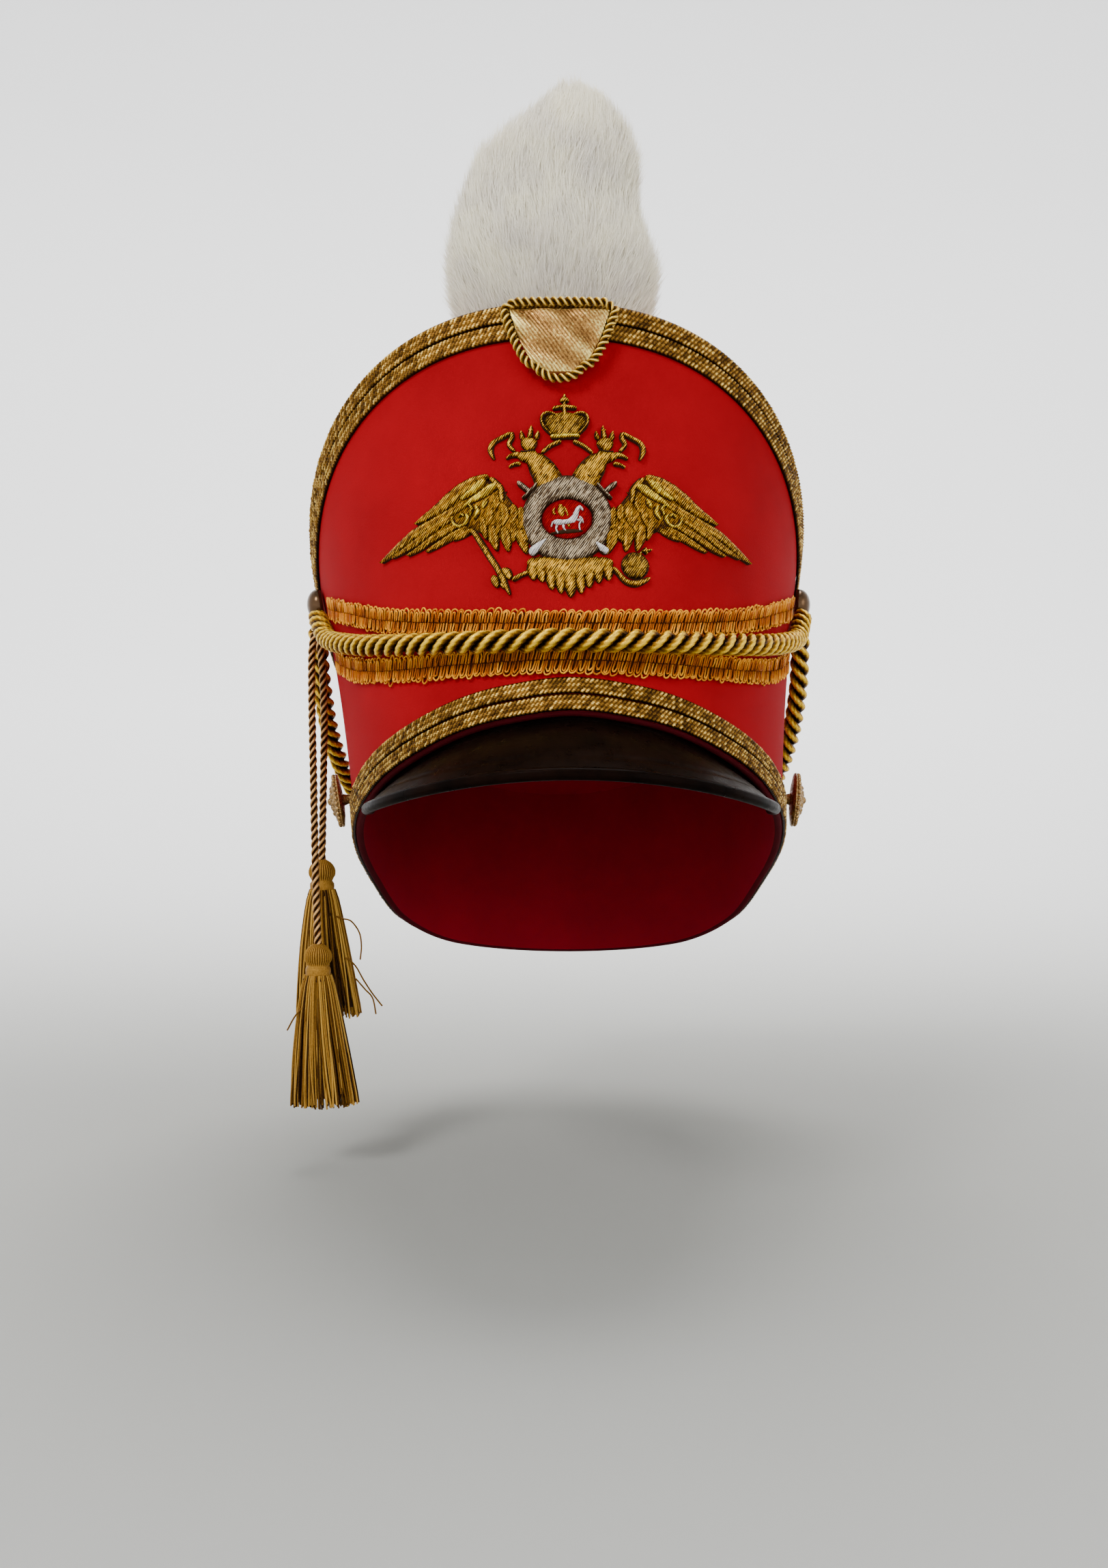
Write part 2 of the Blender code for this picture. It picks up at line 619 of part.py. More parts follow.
def top_level(across, along):
    """Level of the top disc's upper face at a place in the top view."""
    offset = Vector((across - RIM_LEAN, along - RIM_SETBACK))
    side = signed_power(offset.x / RIM_HALF_WIDTH, RIM_SQUARENESS / 2)
    ahead = signed_power(-offset.y / RIM_HALF_DEPTH, RIM_SQUARENESS / 2)
    edge = top_point(math.degrees(math.atan2(side, ahead)), 1.0)
    reach = Vector((edge.x - RIM_LEAN, edge.y - RIM_SETBACK)).length
    share = min(offset.length / reach, 1.0)
    middle = top_point(0.0, 0.0)
    slope = (edge.z - middle.z) / (edge.y - middle.y)
    return middle.z + slope * (along - middle.y) - TOP_DISH * (share - share**2)


def make_plume(hat):
    """Fur plume, with its locks as ridges that turn round its head."""
    middle_x = rim_point(0).x
    middle_y = rim_point(0).y + PLUME_SETBACK
    foot = top_level(middle_x, middle_y) + 2 * GAP
    rows = []
    for up, left, right in PLUME_SECTIONS:
        wide = (right - left) / 2 * PLUME_HALF_WIDTH
        deep = wide * PLUME_HALF_DEPTH / PLUME_HALF_WIDTH
        shift = (left + right) / 2 * PLUME_HALF_WIDTH
        row = []
        for angle in around(PLUME_SIDES):
            turn = math.radians(angle)
            lock = math.cos(PLUME_LOCKS * turn + PLUME_LOCK_TWIST * math.sin(math.pi * up))
            swell = 1 + PLUME_LOCK_DEPTH * lock
            across = middle_x + shift + wide * swell * math.sin(turn)
            along = middle_y - deep * swell * math.cos(turn)
            slant = (top_level(across, along) + 2 * GAP - foot) * (1 - up) ** 2
            row.append(Vector((across, along, foot + slant + PLUME_HEIGHT * up)))
        rows.append(row)
    hat.loft("plume", rows, True, "white_fur", caps=(0, -1))


def make_tassel(hat, name, top, length):
    """Tassel below a point: head, band and skirt in strips, fused in one."""
    rows = []
    for down, wide, in_skirt in reversed(TASSEL_SECTIONS):
        row = []
        for angle in around(TASSEL_SIDES):
            turn = math.radians(angle)
            strip = 1 + in_skirt * TASSEL_STRIP_DEPTH * math.cos(TASSEL_STRIPS * turn)
            depth = TASSEL_HALF_WIDTH + (TASSEL_HALF_DEPTH - TASSEL_HALF_WIDTH) * wide
            row.append(Vector((top.x + TASSEL_LEAN * down**2
                               + TASSEL_HALF_WIDTH * wide * strip * math.sin(turn),
                               top.y - depth * wide * strip * math.cos(turn),
                               top.z - GAP - length * down)))
        rows.append(row)
    hat.loft(name, rows, True, "gold_tassel", caps=(0, -1))


def make_tassels(hat):
    """Two thin cords with their tassels."""
    for cord, tassel, route, length in (
        ("tassel_cord_long", "tassel_front", LONG_CORD_ROUTE, TASSEL_FRONT_LENGTH),
        ("tassel_cord_short", "tassel_back", SHORT_CORD_ROUTE, TASSEL_BACK_LENGTH),
    ):
        points = smooth_route(route, CORD_POINT_SPACING * TASSEL_CORD_DIAMETER)
        hat.tube(cord, points, TASSEL_CORD_DIAMETER, "gold_rope")
        make_tassel(hat, tassel, points[-1], length)


def eagle_point(across, up):
    """Point of the eagle's back face on the wall, from shares of its half span."""
    return front_point(EAGLE_X + EAGLE_HALF_SPAN * across, EAGLE_Z + EAGLE_HALF_SPAN * up, GAP)


def eagle_piece(hat, name, pairs, finish):
    """Flat piece of the eagle between pairs of lower and upper points, left to right."""
    rows = []
    for share in (0.0, 0.5, 1.0):
        row = []
        for low, high in pairs:
            across = low[0] + (high[0] - low[0]) * share
            up = low[1] + (high[1] - low[1]) * share
            row.append(eagle_point(across, up))
        rows.append(row)
    return hat.sheet(name, rows, False, EAGLE_THICKNESS, finish)


def on_side(side, pairs):
    """Pairs for one side, from pairs drawn for the right, kept in order from left to right."""
    if side > 0:
        return pairs
    return [((-low[0], low[1]), (-high[0], high[1])) for low, high in reversed(pairs)]


def bar(start, end, width):
    """Pairs of points for a straight bar, drawn from left to right."""
    line = Vector(end) - Vector(start)
    across = Vector((-line.y, line.x)).normalized() * width / 2
    pairs = []
    for share in spread(0.0, 1.0, 3):
        middle = Vector(start).lerp(Vector(end), share)
        pairs.append((tuple(middle - across), tuple(middle + across)))
    return pairs


def ribbon_pairs():
    """Pairs of points on both sides of the ribbon's route."""
    route = [Vector(point) for point in RIBBON_ROUTE]
    pairs = []
    for index, point in enumerate(route):
        before = route[max(index - 1, 0)]
        after = route[min(index + 1, len(route) - 1)]
        line = (after - before).normalized()
        across = Vector((-line.y, line.x)) * RIBBON_WIDTH / 2
        pairs.append((tuple(point - across), tuple(point + across)))
    return pairs


def make_eagle(hat):
    """The embroidered two-headed eagle, piece by piece."""
    wing = [((out, low), (out, high)) for out, high, low in WING_SECTIONS]
    neck = [((inner_x, inner_z), (outer_x, outer_z))
            for outer_x, outer_z, inner_x, inner_z in NECK_SECTIONS]
    sword = bar(SWORD_ENDS[2:], SWORD_ENDS[:2], SWORD_WIDTH)
    for side, name in ((-1, "left"), (1, "right")):
        eagle_piece(hat, "eagle_wing_" + name, on_side(side, wing), "gold_thread")
        neck_rows = [(high, low) for low, high in neck]
        eagle_piece(hat, "eagle_neck_" + name, on_side(side, neck_rows), "gold_thread")
        eagle_piece(hat, "eagle_sword_" + name, on_side(side, sword), "silver_thread")
        eagle_piece(hat, "eagle_ribbon_" + name, on_side(side, ribbon_pairs()), "gold_thread")
        crown = [((side * SMALL_CROWN_OUT - wide * SMALL_CROWN_SHARE,
                   SMALL_CROWN_FOOT + up * SMALL_CROWN_SHARE),
                  (side * SMALL_CROWN_OUT + wide * SMALL_CROWN_SHARE,
                   SMALL_CROWN_FOOT + up * SMALL_CROWN_SHARE)) for up, wide in CROWN_SECTIONS]
        make_crown_piece(hat, "eagle_crown_" + name, crown)
    crown = [((-wide, CROWN_FOOT + up), (wide, CROWN_FOOT + up)) for up, wide in CROWN_SECTIONS]
    make_crown_piece(hat, "eagle_crown", crown)

    half = [((out, low), (out, high)) for out, high, low in TAIL_SECTIONS]
    eagle_piece(hat, "eagle_tail", on_side(-1, half) + half[1:], "gold_thread")
    eagle_piece(hat, "eagle_leg_left", bar(LEG_LEFT_ENDS[2:], LEG_LEFT_ENDS[:2], LEG_WIDTH),
                "gold_thread")
    eagle_piece(hat, "eagle_leg_right", bar(LEG_RIGHT_ENDS[:2], LEG_RIGHT_ENDS[2:], LEG_WIDTH),
                "gold_thread")
    sceptre = [((x - left, z - left / 2), (x + right, z + right / 2))
               for x, z, left, right in SCEPTRE_SECTIONS]
    eagle_piece(hat, "eagle_sceptre", sceptre, "gold_thread")
    make_disc(hat, "eagle_orb", ORB_PLACE, ORB_RADIUS, ORB_RADIUS, "gold_thread")
    make_ring(hat)
    inset = GAP / EAGLE_HALF_SPAN
    make_disc(hat, "eagle_medallion", (0.0, 0.0), RING_HOLE_WIDTH - inset,
              RING_HOLE_HEIGHT - inset, "red_thread")


def make_crown_piece(hat, name, pairs):
    """Crown from pairs of left and right points, foot to top."""
    rows = [[eagle_point(left[0] + (right[0] - left[0]) * share, left[1])
             for share in spread(0.0, 1.0, 3)] for left, right in pairs]
    hat.sheet(name, rows, False, EAGLE_THICKNESS, "gold_thread")


def make_disc(hat, name, place, half_width, half_height, finish):
    """Round piece of the eagle."""
    pairs = []
    for column in DISC_COLUMNS:
        reach = half_height * math.sqrt(1 - column**2)
        across = place[0] + half_width * column
        pairs.append(((across, place[1] - reach), (across, place[1] + reach)))
    eagle_piece(hat, name, pairs, finish)


def make_ring(hat):
    """Wreath ring round the medallion."""
    turns = [math.radians(angle) for angle in around(RING_SIDES)]
    hole = [eagle_point(RING_HOLE_WIDTH * math.sin(t), -RING_HOLE_HEIGHT * math.cos(t))
            for t in turns]
    edge = [eagle_point(RING_RADIUS * math.sin(t), -RING_RADIUS * math.cos(t)) for t in turns]
    hat.sheet("eagle_ring", [edge, hole], True, EAGLE_THICKNESS, "silver_thread")


def main():
    """Build the whole hat."""
    clear_scene()
    hat = Hat()
    make_crown(hat)
    make_braids(hat)
    make_gimps(hat)
    make_ropes(hat)
    make_bosses(hat)
    make_visor(hat)
    make_cockade(hat)
    make_plume(hat)
    make_tassels(hat)
    make_eagle(hat)


main()
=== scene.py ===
"""Looks of a shako hat: cloth, braid, gimp, rope, tassels, fur plume, visor and sewn eagle.

Metres, +Z up, the front along -Y, +X to the viewer's right. Angles run in degrees from the front,
with +X at 90. A height on the wall runs from 0 at the bottom edge to 1 at the rim.
"""

import math

import bpy
import mathutils
import numpy as np
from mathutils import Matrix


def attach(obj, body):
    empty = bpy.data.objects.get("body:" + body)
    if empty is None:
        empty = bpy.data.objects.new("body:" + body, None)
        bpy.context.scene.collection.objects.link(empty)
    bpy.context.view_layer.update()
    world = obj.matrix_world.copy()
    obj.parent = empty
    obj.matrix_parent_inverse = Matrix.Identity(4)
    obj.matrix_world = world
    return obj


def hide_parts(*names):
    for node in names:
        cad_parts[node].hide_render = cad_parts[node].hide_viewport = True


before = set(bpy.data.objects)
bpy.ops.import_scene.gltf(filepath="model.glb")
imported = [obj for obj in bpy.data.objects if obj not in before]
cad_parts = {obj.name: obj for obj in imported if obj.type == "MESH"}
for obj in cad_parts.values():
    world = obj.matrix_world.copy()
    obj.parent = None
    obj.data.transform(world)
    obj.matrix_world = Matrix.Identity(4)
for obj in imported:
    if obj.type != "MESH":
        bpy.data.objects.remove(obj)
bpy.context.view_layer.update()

# Wall of the crown, as the model has it
GAP = 0.0003
BASE_HALF_WIDTH = 0.085
BASE_HALF_DEPTH = 0.103
EDGE_FRONT_Z = 0.0225
EDGE_BACK_Z = -0.082
EDGE_RISE = ((0, 1.0), (14, 0.977), (24, 0.945), (36, 0.885), (52, 0.79), (66, 0.69), (80, 0.59),
             (102, 0.395), (119, 0.205), (143, 0.06), (180, 0.0))
RIM_HALF_WIDTH = 0.101
RIM_HALF_DEPTH = 0.105
RIM_SETBACK = 0.025
RIM_HEIGHT = 0.0815
RIM_SLOPE = 0.80
RIM_SQUARENESS = 2.25
RIM_LEAN = -0.005
WALL_THICKNESS = 0.003
WAIST_DEPTH = 0.002
TOP_THICKNESS = 0.0025
TOP_INSET = 0.0015
TOP_DISH = 0.003

# Where the trim lies, as the model has it
TOP_BRAID_WIDTH = 0.0062
EDGE_BRAID_WIDTH = 0.0055
EDGE_BRAID_MARGIN = 0.0015
BRAID_THICKNESS = 0.0016
# Degrees, then heights of rope, upper and lower gimp as shares of the rim's height
TRIM_HEIGHTS = ((0, 0.565, 0.653, 0.500), (25, 0.571, 0.670, 0.492), (45, 0.600, 0.716, 0.492),
                (60, 0.646, 0.785, 0.520), (72, 0.705, 0.842, 0.580), (82, 0.838, 0.915, 0.650))
GIMP_WIDTH = 0.0095
GIMP_THICKNESS = 0.0016
GIMP_END_ANGLE = 74
ROPE_DIAMETER = 0.008
ROPE_END_ANGLE = 81
ROPE_ON_GIMP_ANGLE = 45
ROPE_ON_WALL_ANGLE = 68
BACK_CORD_ROUTE = ((-0.1043, 0.0102, 0.0660), (-0.1040, 0.0125, 0.0560), (-0.1037, 0.0190, 0.0400),
                   (-0.1024, 0.0320, 0.0210), (-0.0988, 0.0490, 0.0040), (-0.0915, 0.0700, -0.0110),
                   (-0.0770, 0.0925, -0.0235), (-0.0560, 0.1110, -0.0325),
                   (-0.0300, 0.1205, -0.0385), (0.0, 0.1232, -0.0405), (0.0285, 0.1205, -0.0385),
                   (0.0540, 0.1110, -0.0325), (0.0735, 0.0925, -0.0235), (0.0870, 0.0700, -0.0110),
                   (0.0934, 0.0490, 0.0040), (0.0962, 0.0320, 0.0210), (0.0971, 0.0190, 0.0400),
                   (0.0966, 0.0125, 0.0560), (0.0963, 0.0102, 0.0660))
TASSEL_CORD_DIAMETER = 0.0032
LONG_CORD_ROUTE = ((-0.1030, -0.0030, 0.0615), (-0.1042, -0.0022, 0.0520),
                   (-0.1042, -0.0018, 0.0300), (-0.1036, -0.0022, 0.0050),
                   (-0.1028, -0.0032, -0.0250), (-0.1018, -0.0048, -0.0500),
                   (-0.1010, -0.0060, -0.0640))
SHORT_CORD_ROUTE = ((-0.1038, 0.0049, 0.0634), (-0.1016, 0.0046, 0.0520), (-0.1006, 0.0055, 0.0300),
                    (-0.1010, 0.0066, 0.0080), (-0.1016, 0.0080, -0.0120),
                    (-0.1022, 0.0094, -0.0310))
TASSEL_LENGTH = 0.065
TASSEL_HALF_WIDTH = 0.0140
TASSEL_HALF_DEPTH = 0.0080
TASSEL_LEAN = 0.0025
BOSS_DIAMETER = 0.0136
BOSS_HEIGHT = 0.0062
BOSS_ANGLE = 83
BOSS_Z = 0.0733
BUTTON_DIAMETER = 0.022
BUTTON_HEIGHT = 0.0088
BUTTON_ANGLE = 86
BUTTON_Z = -0.006
SEAT = 0.0009
SHANK_SEAT = 0.0005
VISOR_THICKNESS = 0.0025
VISOR_FLANGE = 0.008
VISOR_ROOT_ANGLE = 60
VISOR_ROOT_DROP = 0.0010
VISOR_HALF_WIDTH = 0.0735
VISOR_FRONT_Y = -0.140
VISOR_CORNER_Y = -0.052
VISOR_FRONT_Z = 0.0043
VISOR_CORNER_Z = -0.0080
VISOR_CAMBER = 0.035
BINDING_DIAMETER = 0.004
COCKADE_WIDTH = 0.032
COCKADE_LENGTH = 0.0225
COCKADE_THICKNESS = 0.0025
COCKADE_DROP = 0.0035
COCKADE_TRIM_DIAMETER = 0.0032
COCKADE_TRIM_CLEARANCE = 0.0009
COCKADE_OUTLINE = ((0.0, 0.22), (0.07, 0.40), (0.20, 0.57), (0.50, 0.78), (0.80, 0.93), (1.0, 1.0))
PLUME_HEIGHT = 0.114
PLUME_HALF_WIDTH = 0.0395
PLUME_HALF_DEPTH = 0.023
PLUME_SETBACK = 0.026
PLUME_CLEARANCE = 0.0012
PLUME_SECTIONS = ((0.0, -0.48, 0.46), (0.04, -0.64, 0.62), (0.12, -0.80, 0.76),
                  (0.20, -0.90, 0.84), (0.27, -0.97, 0.90), (0.37, -1.03, 0.95),
                  (0.45, -1.02, 0.90), (0.54, -0.97, 0.80), (0.62, -0.89, 0.76),
                  (0.70, -0.80, 0.76), (0.76, -0.70, 0.74), (0.83, -0.47, 0.66),
                  (0.90, -0.23, 0.53), (0.95, -0.07, 0.40), (1.0, 0.06, 0.18))

# Fine build of the pieces
CLOTH_RIPPLE = 0.00012
CROWN_SIDES = 180
WALL_ROWS = 40
FOLD_ROWS = 6
LINING_ROWS = 24
TOP_ROWS = 30
BRAID_PITCH = 0.0015
BRAID_SAMPLES = 4
BRAID_ROWS = 12
BRAID_RIDGES = 3
BRAID_SLANT = 3.0
BRAID_FLOOR = 0.34
BRAID_RISE = 0.40
BRAID_RIB = 0.22
BRAID_UNEVEN = 0.25
BRAID_GLEAMS = (0.35, 1.55)
BRAID_SEED = 3
GIMP_PITCH = 0.0027
GIMP_THREAD = 0.00030
GIMP_LOOSE = 0.0009
RIBBON_RISE = (0.0005, 0.0006, 0.0005)
GIMP_NESTS = 2
GIMP_SLANT = 0.30
GIMP_STRAY = 0.00012
GIMP_MARGIN = 0.0002
GIMP_LIFT = 0.0006
GIMP_NEST_LIFT = 0.0003
GIMP_UNEVEN = 0.0002
GIMP_ARCH = 0.0002
GIMP_BENDS = 9
GIMP_SEED = 4
ROPE_STEP = 0.0009
# Diameter, length of a turn, sides of a strand, hand of the twist, and length that an end closes over
THICK_ROPE = (ROPE_DIAMETER, 0.0170, 24, -1, 0.003)
THIN_CORD = (TASSEL_CORD_DIAMETER, 0.0098, 12, 1, 0.0012)
TASSEL_CORD_STEP = 0.0005
TASSEL_CORD_INSIDE = 0.009
TASSEL_FORM = ((0.0, 0.12), (0.02, 0.26), (0.06, 0.37), (0.10, 0.37), (0.13, 0.30), (0.155, 0.36),
               (0.195, 0.36), (0.22, 0.42), (0.40, 0.60), (0.65, 0.80), (0.85, 0.93), (1.0, 1.0))
TASSEL_BAND = (0.13, 0.195)
TASSEL_THREADS = 260
TASSEL_THREAD = 0.00036
THREAD_SIDES = 5
TASSEL_SIDES = 132
TASSEL_CORE_END = 0.94
TASSEL_CORE_CUT = 0.86
TASSEL_LOOSE_STEP = 0.0012
HEAD_FOLDS = 33
SKIRT_FOLDS = 22
FOLD_DEPTH = 0.05
TASSEL_ROWS = 60
# Loose threads: lines of places across and up
TASSEL_LOOSE_DEPTH = -0.0045
TASSEL_LOOSE = {
    "tassel_front": (((-0.1020, -0.0840), (-0.1057, -0.0885), (-0.1094, -0.0927), (-0.1125, -0.0983)),),
    "tassel_back": (((-0.0955, -0.0545), (-0.0927, -0.0554), (-0.0894, -0.0564), (-0.0861, -0.0610),
                     (-0.0852, -0.0666), (-0.0857, -0.0722)),
                    ((-0.0940, -0.0870), (-0.0944, -0.0800), (-0.0935, -0.0735), (-0.0912, -0.0717),
                     (-0.0875, -0.0750), (-0.0843, -0.0806), (-0.0806, -0.0862), (-0.0766, -0.0913)),
                    ((-0.0875, -0.0800), (-0.0838, -0.0843), (-0.0806, -0.0880), (-0.0792, -0.0946))),
}
BOSS_SIDES = 64
BUTTON_SIDES = 96
BUTTON_BEADS = 30
COCKADE_ROWS = 90
COCKADE_COLUMNS = 109
COCKADE_BACK_STEP = 12
COCKADE_SEED = 5
WEAVE_PITCH = 0.0011
WEAVE_HEIGHT = 0.00013
CREASE_HEIGHT = 0.00028
PLUME_SEED = 11
PLUME_HAIRS = 50000
PLUME_SIDES = 120
PLUME_ROWS = 64
PLUME_TIP = 0.985
PLUME_CORE = 0.93
PLUME_ROOT = 0.92
PLUME_LEAN = (0.35, 0.95)
PLUME_HAIR_LENGTH = (0.0045, 0.0095)
PLUME_HAIR_WIDTH = 0.00024
VISOR_LINE = 0.0065
VISOR_LINE_DEPTH = 0.00035
VISOR_LINE_WIDTH = 0.0006
VISOR_COLUMNS = 161
VISOR_ROWS = 30
BINDING_SIDES = 24
BINDING_STEP = 0.0012
COCKADE_TRIM_LAY = 0.0050
COCKADE_TRIM_STEP = 0.0005
COCKADE_TUCK = 0.0006
# Name, place, target, size and power
LIGHTS = (("key", (-0.9, -1.3, 1.3), (0.0, 0.0, 0.05), 0.6, 27.0),
          ("fill", (1.3, -1.1, 0.5), (0.0, 0.0, 0.05), 0.9, 6.0),
          ("above", (0.1, 0.3, 1.6), (0.0, 0.0, 0.15), 1.0, 30.0),
          ("backdrop", (0.0, 0.6, 1.1), (0.0, 2.2, 0.5), 1.6, 33.0))

# Embroidered eagle: sizes are shares of its half span. A table below holds strips of satin stitch.
# Each strip is a line of places across and up from the middle of the ring and its width there, in
# thousandths of the half span. The pieces of the sides are drawn for the right.
EAGLE_HALF_SPAN = 0.0665
EAGLE_X = -0.0016
EAGLE_Z = 0.0893
RING_RADIUS = 0.226
RING_HOLE_WIDTH = 0.128
RING_HOLE_HEIGHT = 0.106
STITCH_PITCH = 0.00062
STITCH_LENGTH = 0.0030
STITCH_TILT = 35
STITCH_CONTRAST = 1.35
STITCH_WAVES = 1 / 3.18
STITCH_WAVE_SHARE = 0.45
SEWN_STEP = 0.0065
SEWN_MARKS = 80
SEWN_ACROSS = 7
SEWN_OUTLINE_ACROSS = 5
SEWN_OUTLINE_DEPTH = 0.0004
SEWN_EDGE_UNEVEN = 0.05
SEWN_UNEVEN = 0.00004
DISC_SIDES = 120
DISC_ROWS = 12
SEWN_OUTLINE = 0.0036
SEWN_SEED = 8
ORB_PLACE = (0.343, -0.236)
ORB_RADIUS = 0.068
WING_GROUND = (
    ((220, -15, 150), (300, -10, 180), (380, 40, 230), (440, 85, 260), (530, 70, 220), (640, 25, 170),
     (760, -45, 100), (880, -110, 50)),
)
LONG_FEATHERS = (
    ((475, -40, 25), (520, -60, 32), (550, -75, 24), (580, -90, 6)),
    ((505, -25, 24), (575, -60, 36), (635, -90, 33), (685, -115, 24), (725, -135, 6)),
    ((555, -10, 24), (620, -40, 36), (700, -75, 36), (760, -110, 28), (830, -140, 8)),
    ((570, 35, 28), (650, 0, 38), (730, -45, 39), (810, -95, 35), (920, -140, 8)),
    ((510, 100, 39), (620, 45, 47), (705, 5, 50), (800, -35, 46), (905, -105, 36), (985, -155, 6)),
    ((395, 230, 32), (460, 215, 49), (525, 180, 66), (590, 135, 71), (650, 90, 62), (715, 55, 41),
     (785, 20, 8)),
)
SATIN_BANDS = (
    ((410, 220, 24), (445, 190, 46), (480, 160, 41), (540, 120, 17)),
    ((350, 185, 27), (385, 170, 49), (430, 140, 47), (480, 110, 32), (520, 80, 13)),
    ((400, 115, 11), (415, 90, 27), (425, 65, 9)),
    ((460, 85, 11), (450, 50, 24), (470, 10, 9)),
)
WING_EDGE = (
    ((390, 225, 21), (365, 200, 27), (335, 165, 25), (330, 120, 24), (325, 90, 17)),
)
ORNAMENT = (
    ((580, 35, 9), (575, 0, 16), (545, -20, 17), (515, -10, 14), (500, 20, 21), (510, 45, 11)),
    ((555, 25, 8), (535, 45, 17), (520, 30, 9)),
    ((500, 95, 8), (480, 70, 16), (490, 35, 8)),
)
SCALES = (
    ((215, -25, 24), (205, -75, 36), (200, -115, 9)),
    ((205, 60, 24), (200, 20, 36), (210, -25, 9)),
    ((350, 30, 24), (340, -20, 39), (360, -70, 9)),
    ((275, -10, 24), (265, -65, 38), (275, -115, 9)),
    ((365, 140, 24), (355, 90, 39), (370, 40, 9)),
    ((245, -45, 28), (225, -110, 49), (200, -180, 13)),
    ((235, 65, 24), (225, 0, 41), (235, -60, 9)),
    ((275, 80, 24), (265, 25, 39), (285, -25, 9)),
    ((320, -35, 28), (305, -100, 49), (295, -165, 11)),
    ((325, 85, 24), (310, 25, 43), (325, -35, 9)),
    ((385, 75, 32), (390, 20, 38), (405, -30, 9)),
    ((380, -20, 32), (370, -90, 49), (350, -160, 9)),
    ((430, 25, 24), (420, -40, 39), (405, -100, 8)),
)
NECK = (
    ((70, 125, 150), (92, 195, 142), (118, 250, 128), (155, 295, 108), (198, 320, 72)),
)
HEAD = (
    ((145, 325, 55), (185, 330, 73), (225, 330, 55), (250, 325, 32)),
)
BEAK = (
    ((235, 340, 32), (275, 340, 21), (310, 320, 6)),
    ((235, 295, 21), (270, 290, 13), (295, 275, 5)),
)
EYE = (
    ((235, 355, 6), (205, 350, 13), (160, 360, 5)),
    ((120, 210, 5), (100, 230, 8)),
)
SMALL_CROWN = (
    ((200, 360, 56), (195, 390, 74), (190, 428, 90)),
    ((226, 420, 26), (229, 440, 20), (233, 464, 6)),
    ((190, 425, 28), (186, 450, 20), (181, 490, 6)),
    ((157, 420, 26), (151, 440, 18), (145, 462, 6)),
    ((172, 466, 8), (197, 468, 8)),
)
OUTER_RIBBON = (
    ((265, 360, 13), (295, 395, 19), (280, 435, 21), (285, 455, 16), (330, 435, 19), (375, 410, 21),
     (390, 370, 24), (370, 320, 6)),
)
INNER_RIBBON = (
    ((30, 410, 19), (75, 390, 17), (110, 365, 16), (130, 345, 9)),
)
SCEPTRE = (
    ((480, -40, 22), (430, -120, 27), (385, -195, 27), (350, -250, 26), (315, -320, 26), (285, -390, 8)),
)
SWORD = (
    ((250, 195, 22), (220, 170, 22), (185, 140, 21)),
    ((150, 185, 9), (180, 150, 13), (225, 105, 7)),
    ((175, 130, 37), (145, 110, 39), (110, 90, 27)),
)
LARGE_CROWN_BODY = (
    ((-10, 430, 150), (-10, 465, 185), (-10, 505, 222), (-10, 545, 226), (-10, 562, 180)),
)
LARGE_CROWN_FOOT = (
    ((-85, 430, 22), (-10, 435, 25), (65, 435, 22)),
)
LARGE_CROWN_LINES = (
    ((-80, 445, 9), (-118, 485, 10), (-130, 530, 12), (-110, 556, 12), (-70, 553, 10), (-35, 522, 8),
     (-20, 485, 7)),
    ((-10, 445, 13), (-12, 500, 15), (-13, 570, 16), (-13, 615, 14)),
    ((-75, 578, 12), (-40, 588, 18), (10, 588, 18), (50, 582, 12)),
    ((-36, 618, 12), (-13, 628, 26), (10, 618, 12)),
    ((-13, 655, 10), (-13, 615, 18)),
)
CROWN_THREADS = (
    ((-115, 505, 4), (-55, 550, 7)),
    ((-105, 485, 4), (-35, 530, 7)),
    ((-85, 465, 4), (-25, 510, 7)),
    ((-65, 450, 4), (-20, 480, 7)),
)
TAIL_BAND = (
    ((-200, -226, 50), (-110, -240, 90), (5, -248, 100), (130, -242, 90), (230, -224, 50)),
)
TAIL_FEATHERS = (
    ((-175, -225, 50), (-172, -270, 54), (-166, -318, 18)),
    ((-132, -235, 48), (-128, -285, 52), (-122, -328, 16)),
    ((-86, -240, 50), (-81, -310, 52), (-75, -368, 16)),
    ((-40, -245, 48), (-35, -325, 50), (-30, -388, 14)),
    ((62, -245, 50), (66, -325, 52), (70, -388, 14)),
    ((108, -240, 48), (110, -305, 50), (111, -358, 16)),
    ((154, -235, 48), (157, -285, 50), (159, -334, 16)),
    ((200, -228, 48), (204, -272, 52), (206, -318, 18)),
    ((12, -245, 60), (15, -335, 66), (19, -408, 16)),
)
LEG_LEFT = (
    ((-190, -275, 19), (-230, -290, 18), (-275, -315, 22)),
    ((-325, -255, 30), (-300, -275, 42), (-285, -310, 22)),
    ((-370, -285, 27), (-360, -315, 37), (-345, -350, 18)),
    ((-330, -330, 15), (-310, -355, 19)),
)
LEG_RIGHT = (
    ((230, -250, 19), (260, -285, 21), (295, -320, 25), (340, -330, 30), (385, -315, 24), (415, -295, 12)),
)
ORB_LINES = (
    ((285, -225, 7), (345, -250, 9), (410, -240, 7)),
    ((370, -165, 7), (360, -215, 9), (390, -275, 7)),
    ((390, -140, 10), (400, -175, 13)),
    ((375, -160, 9), (425, -150, 10)),
)
BLOBS = (
    ((-185, -185, 45), (-155, -155, 43), (-125, -130, 25), (-100, -110, 9)),
    ((205, -175, 36), (175, -155, 34), (140, -125, 12)),
)
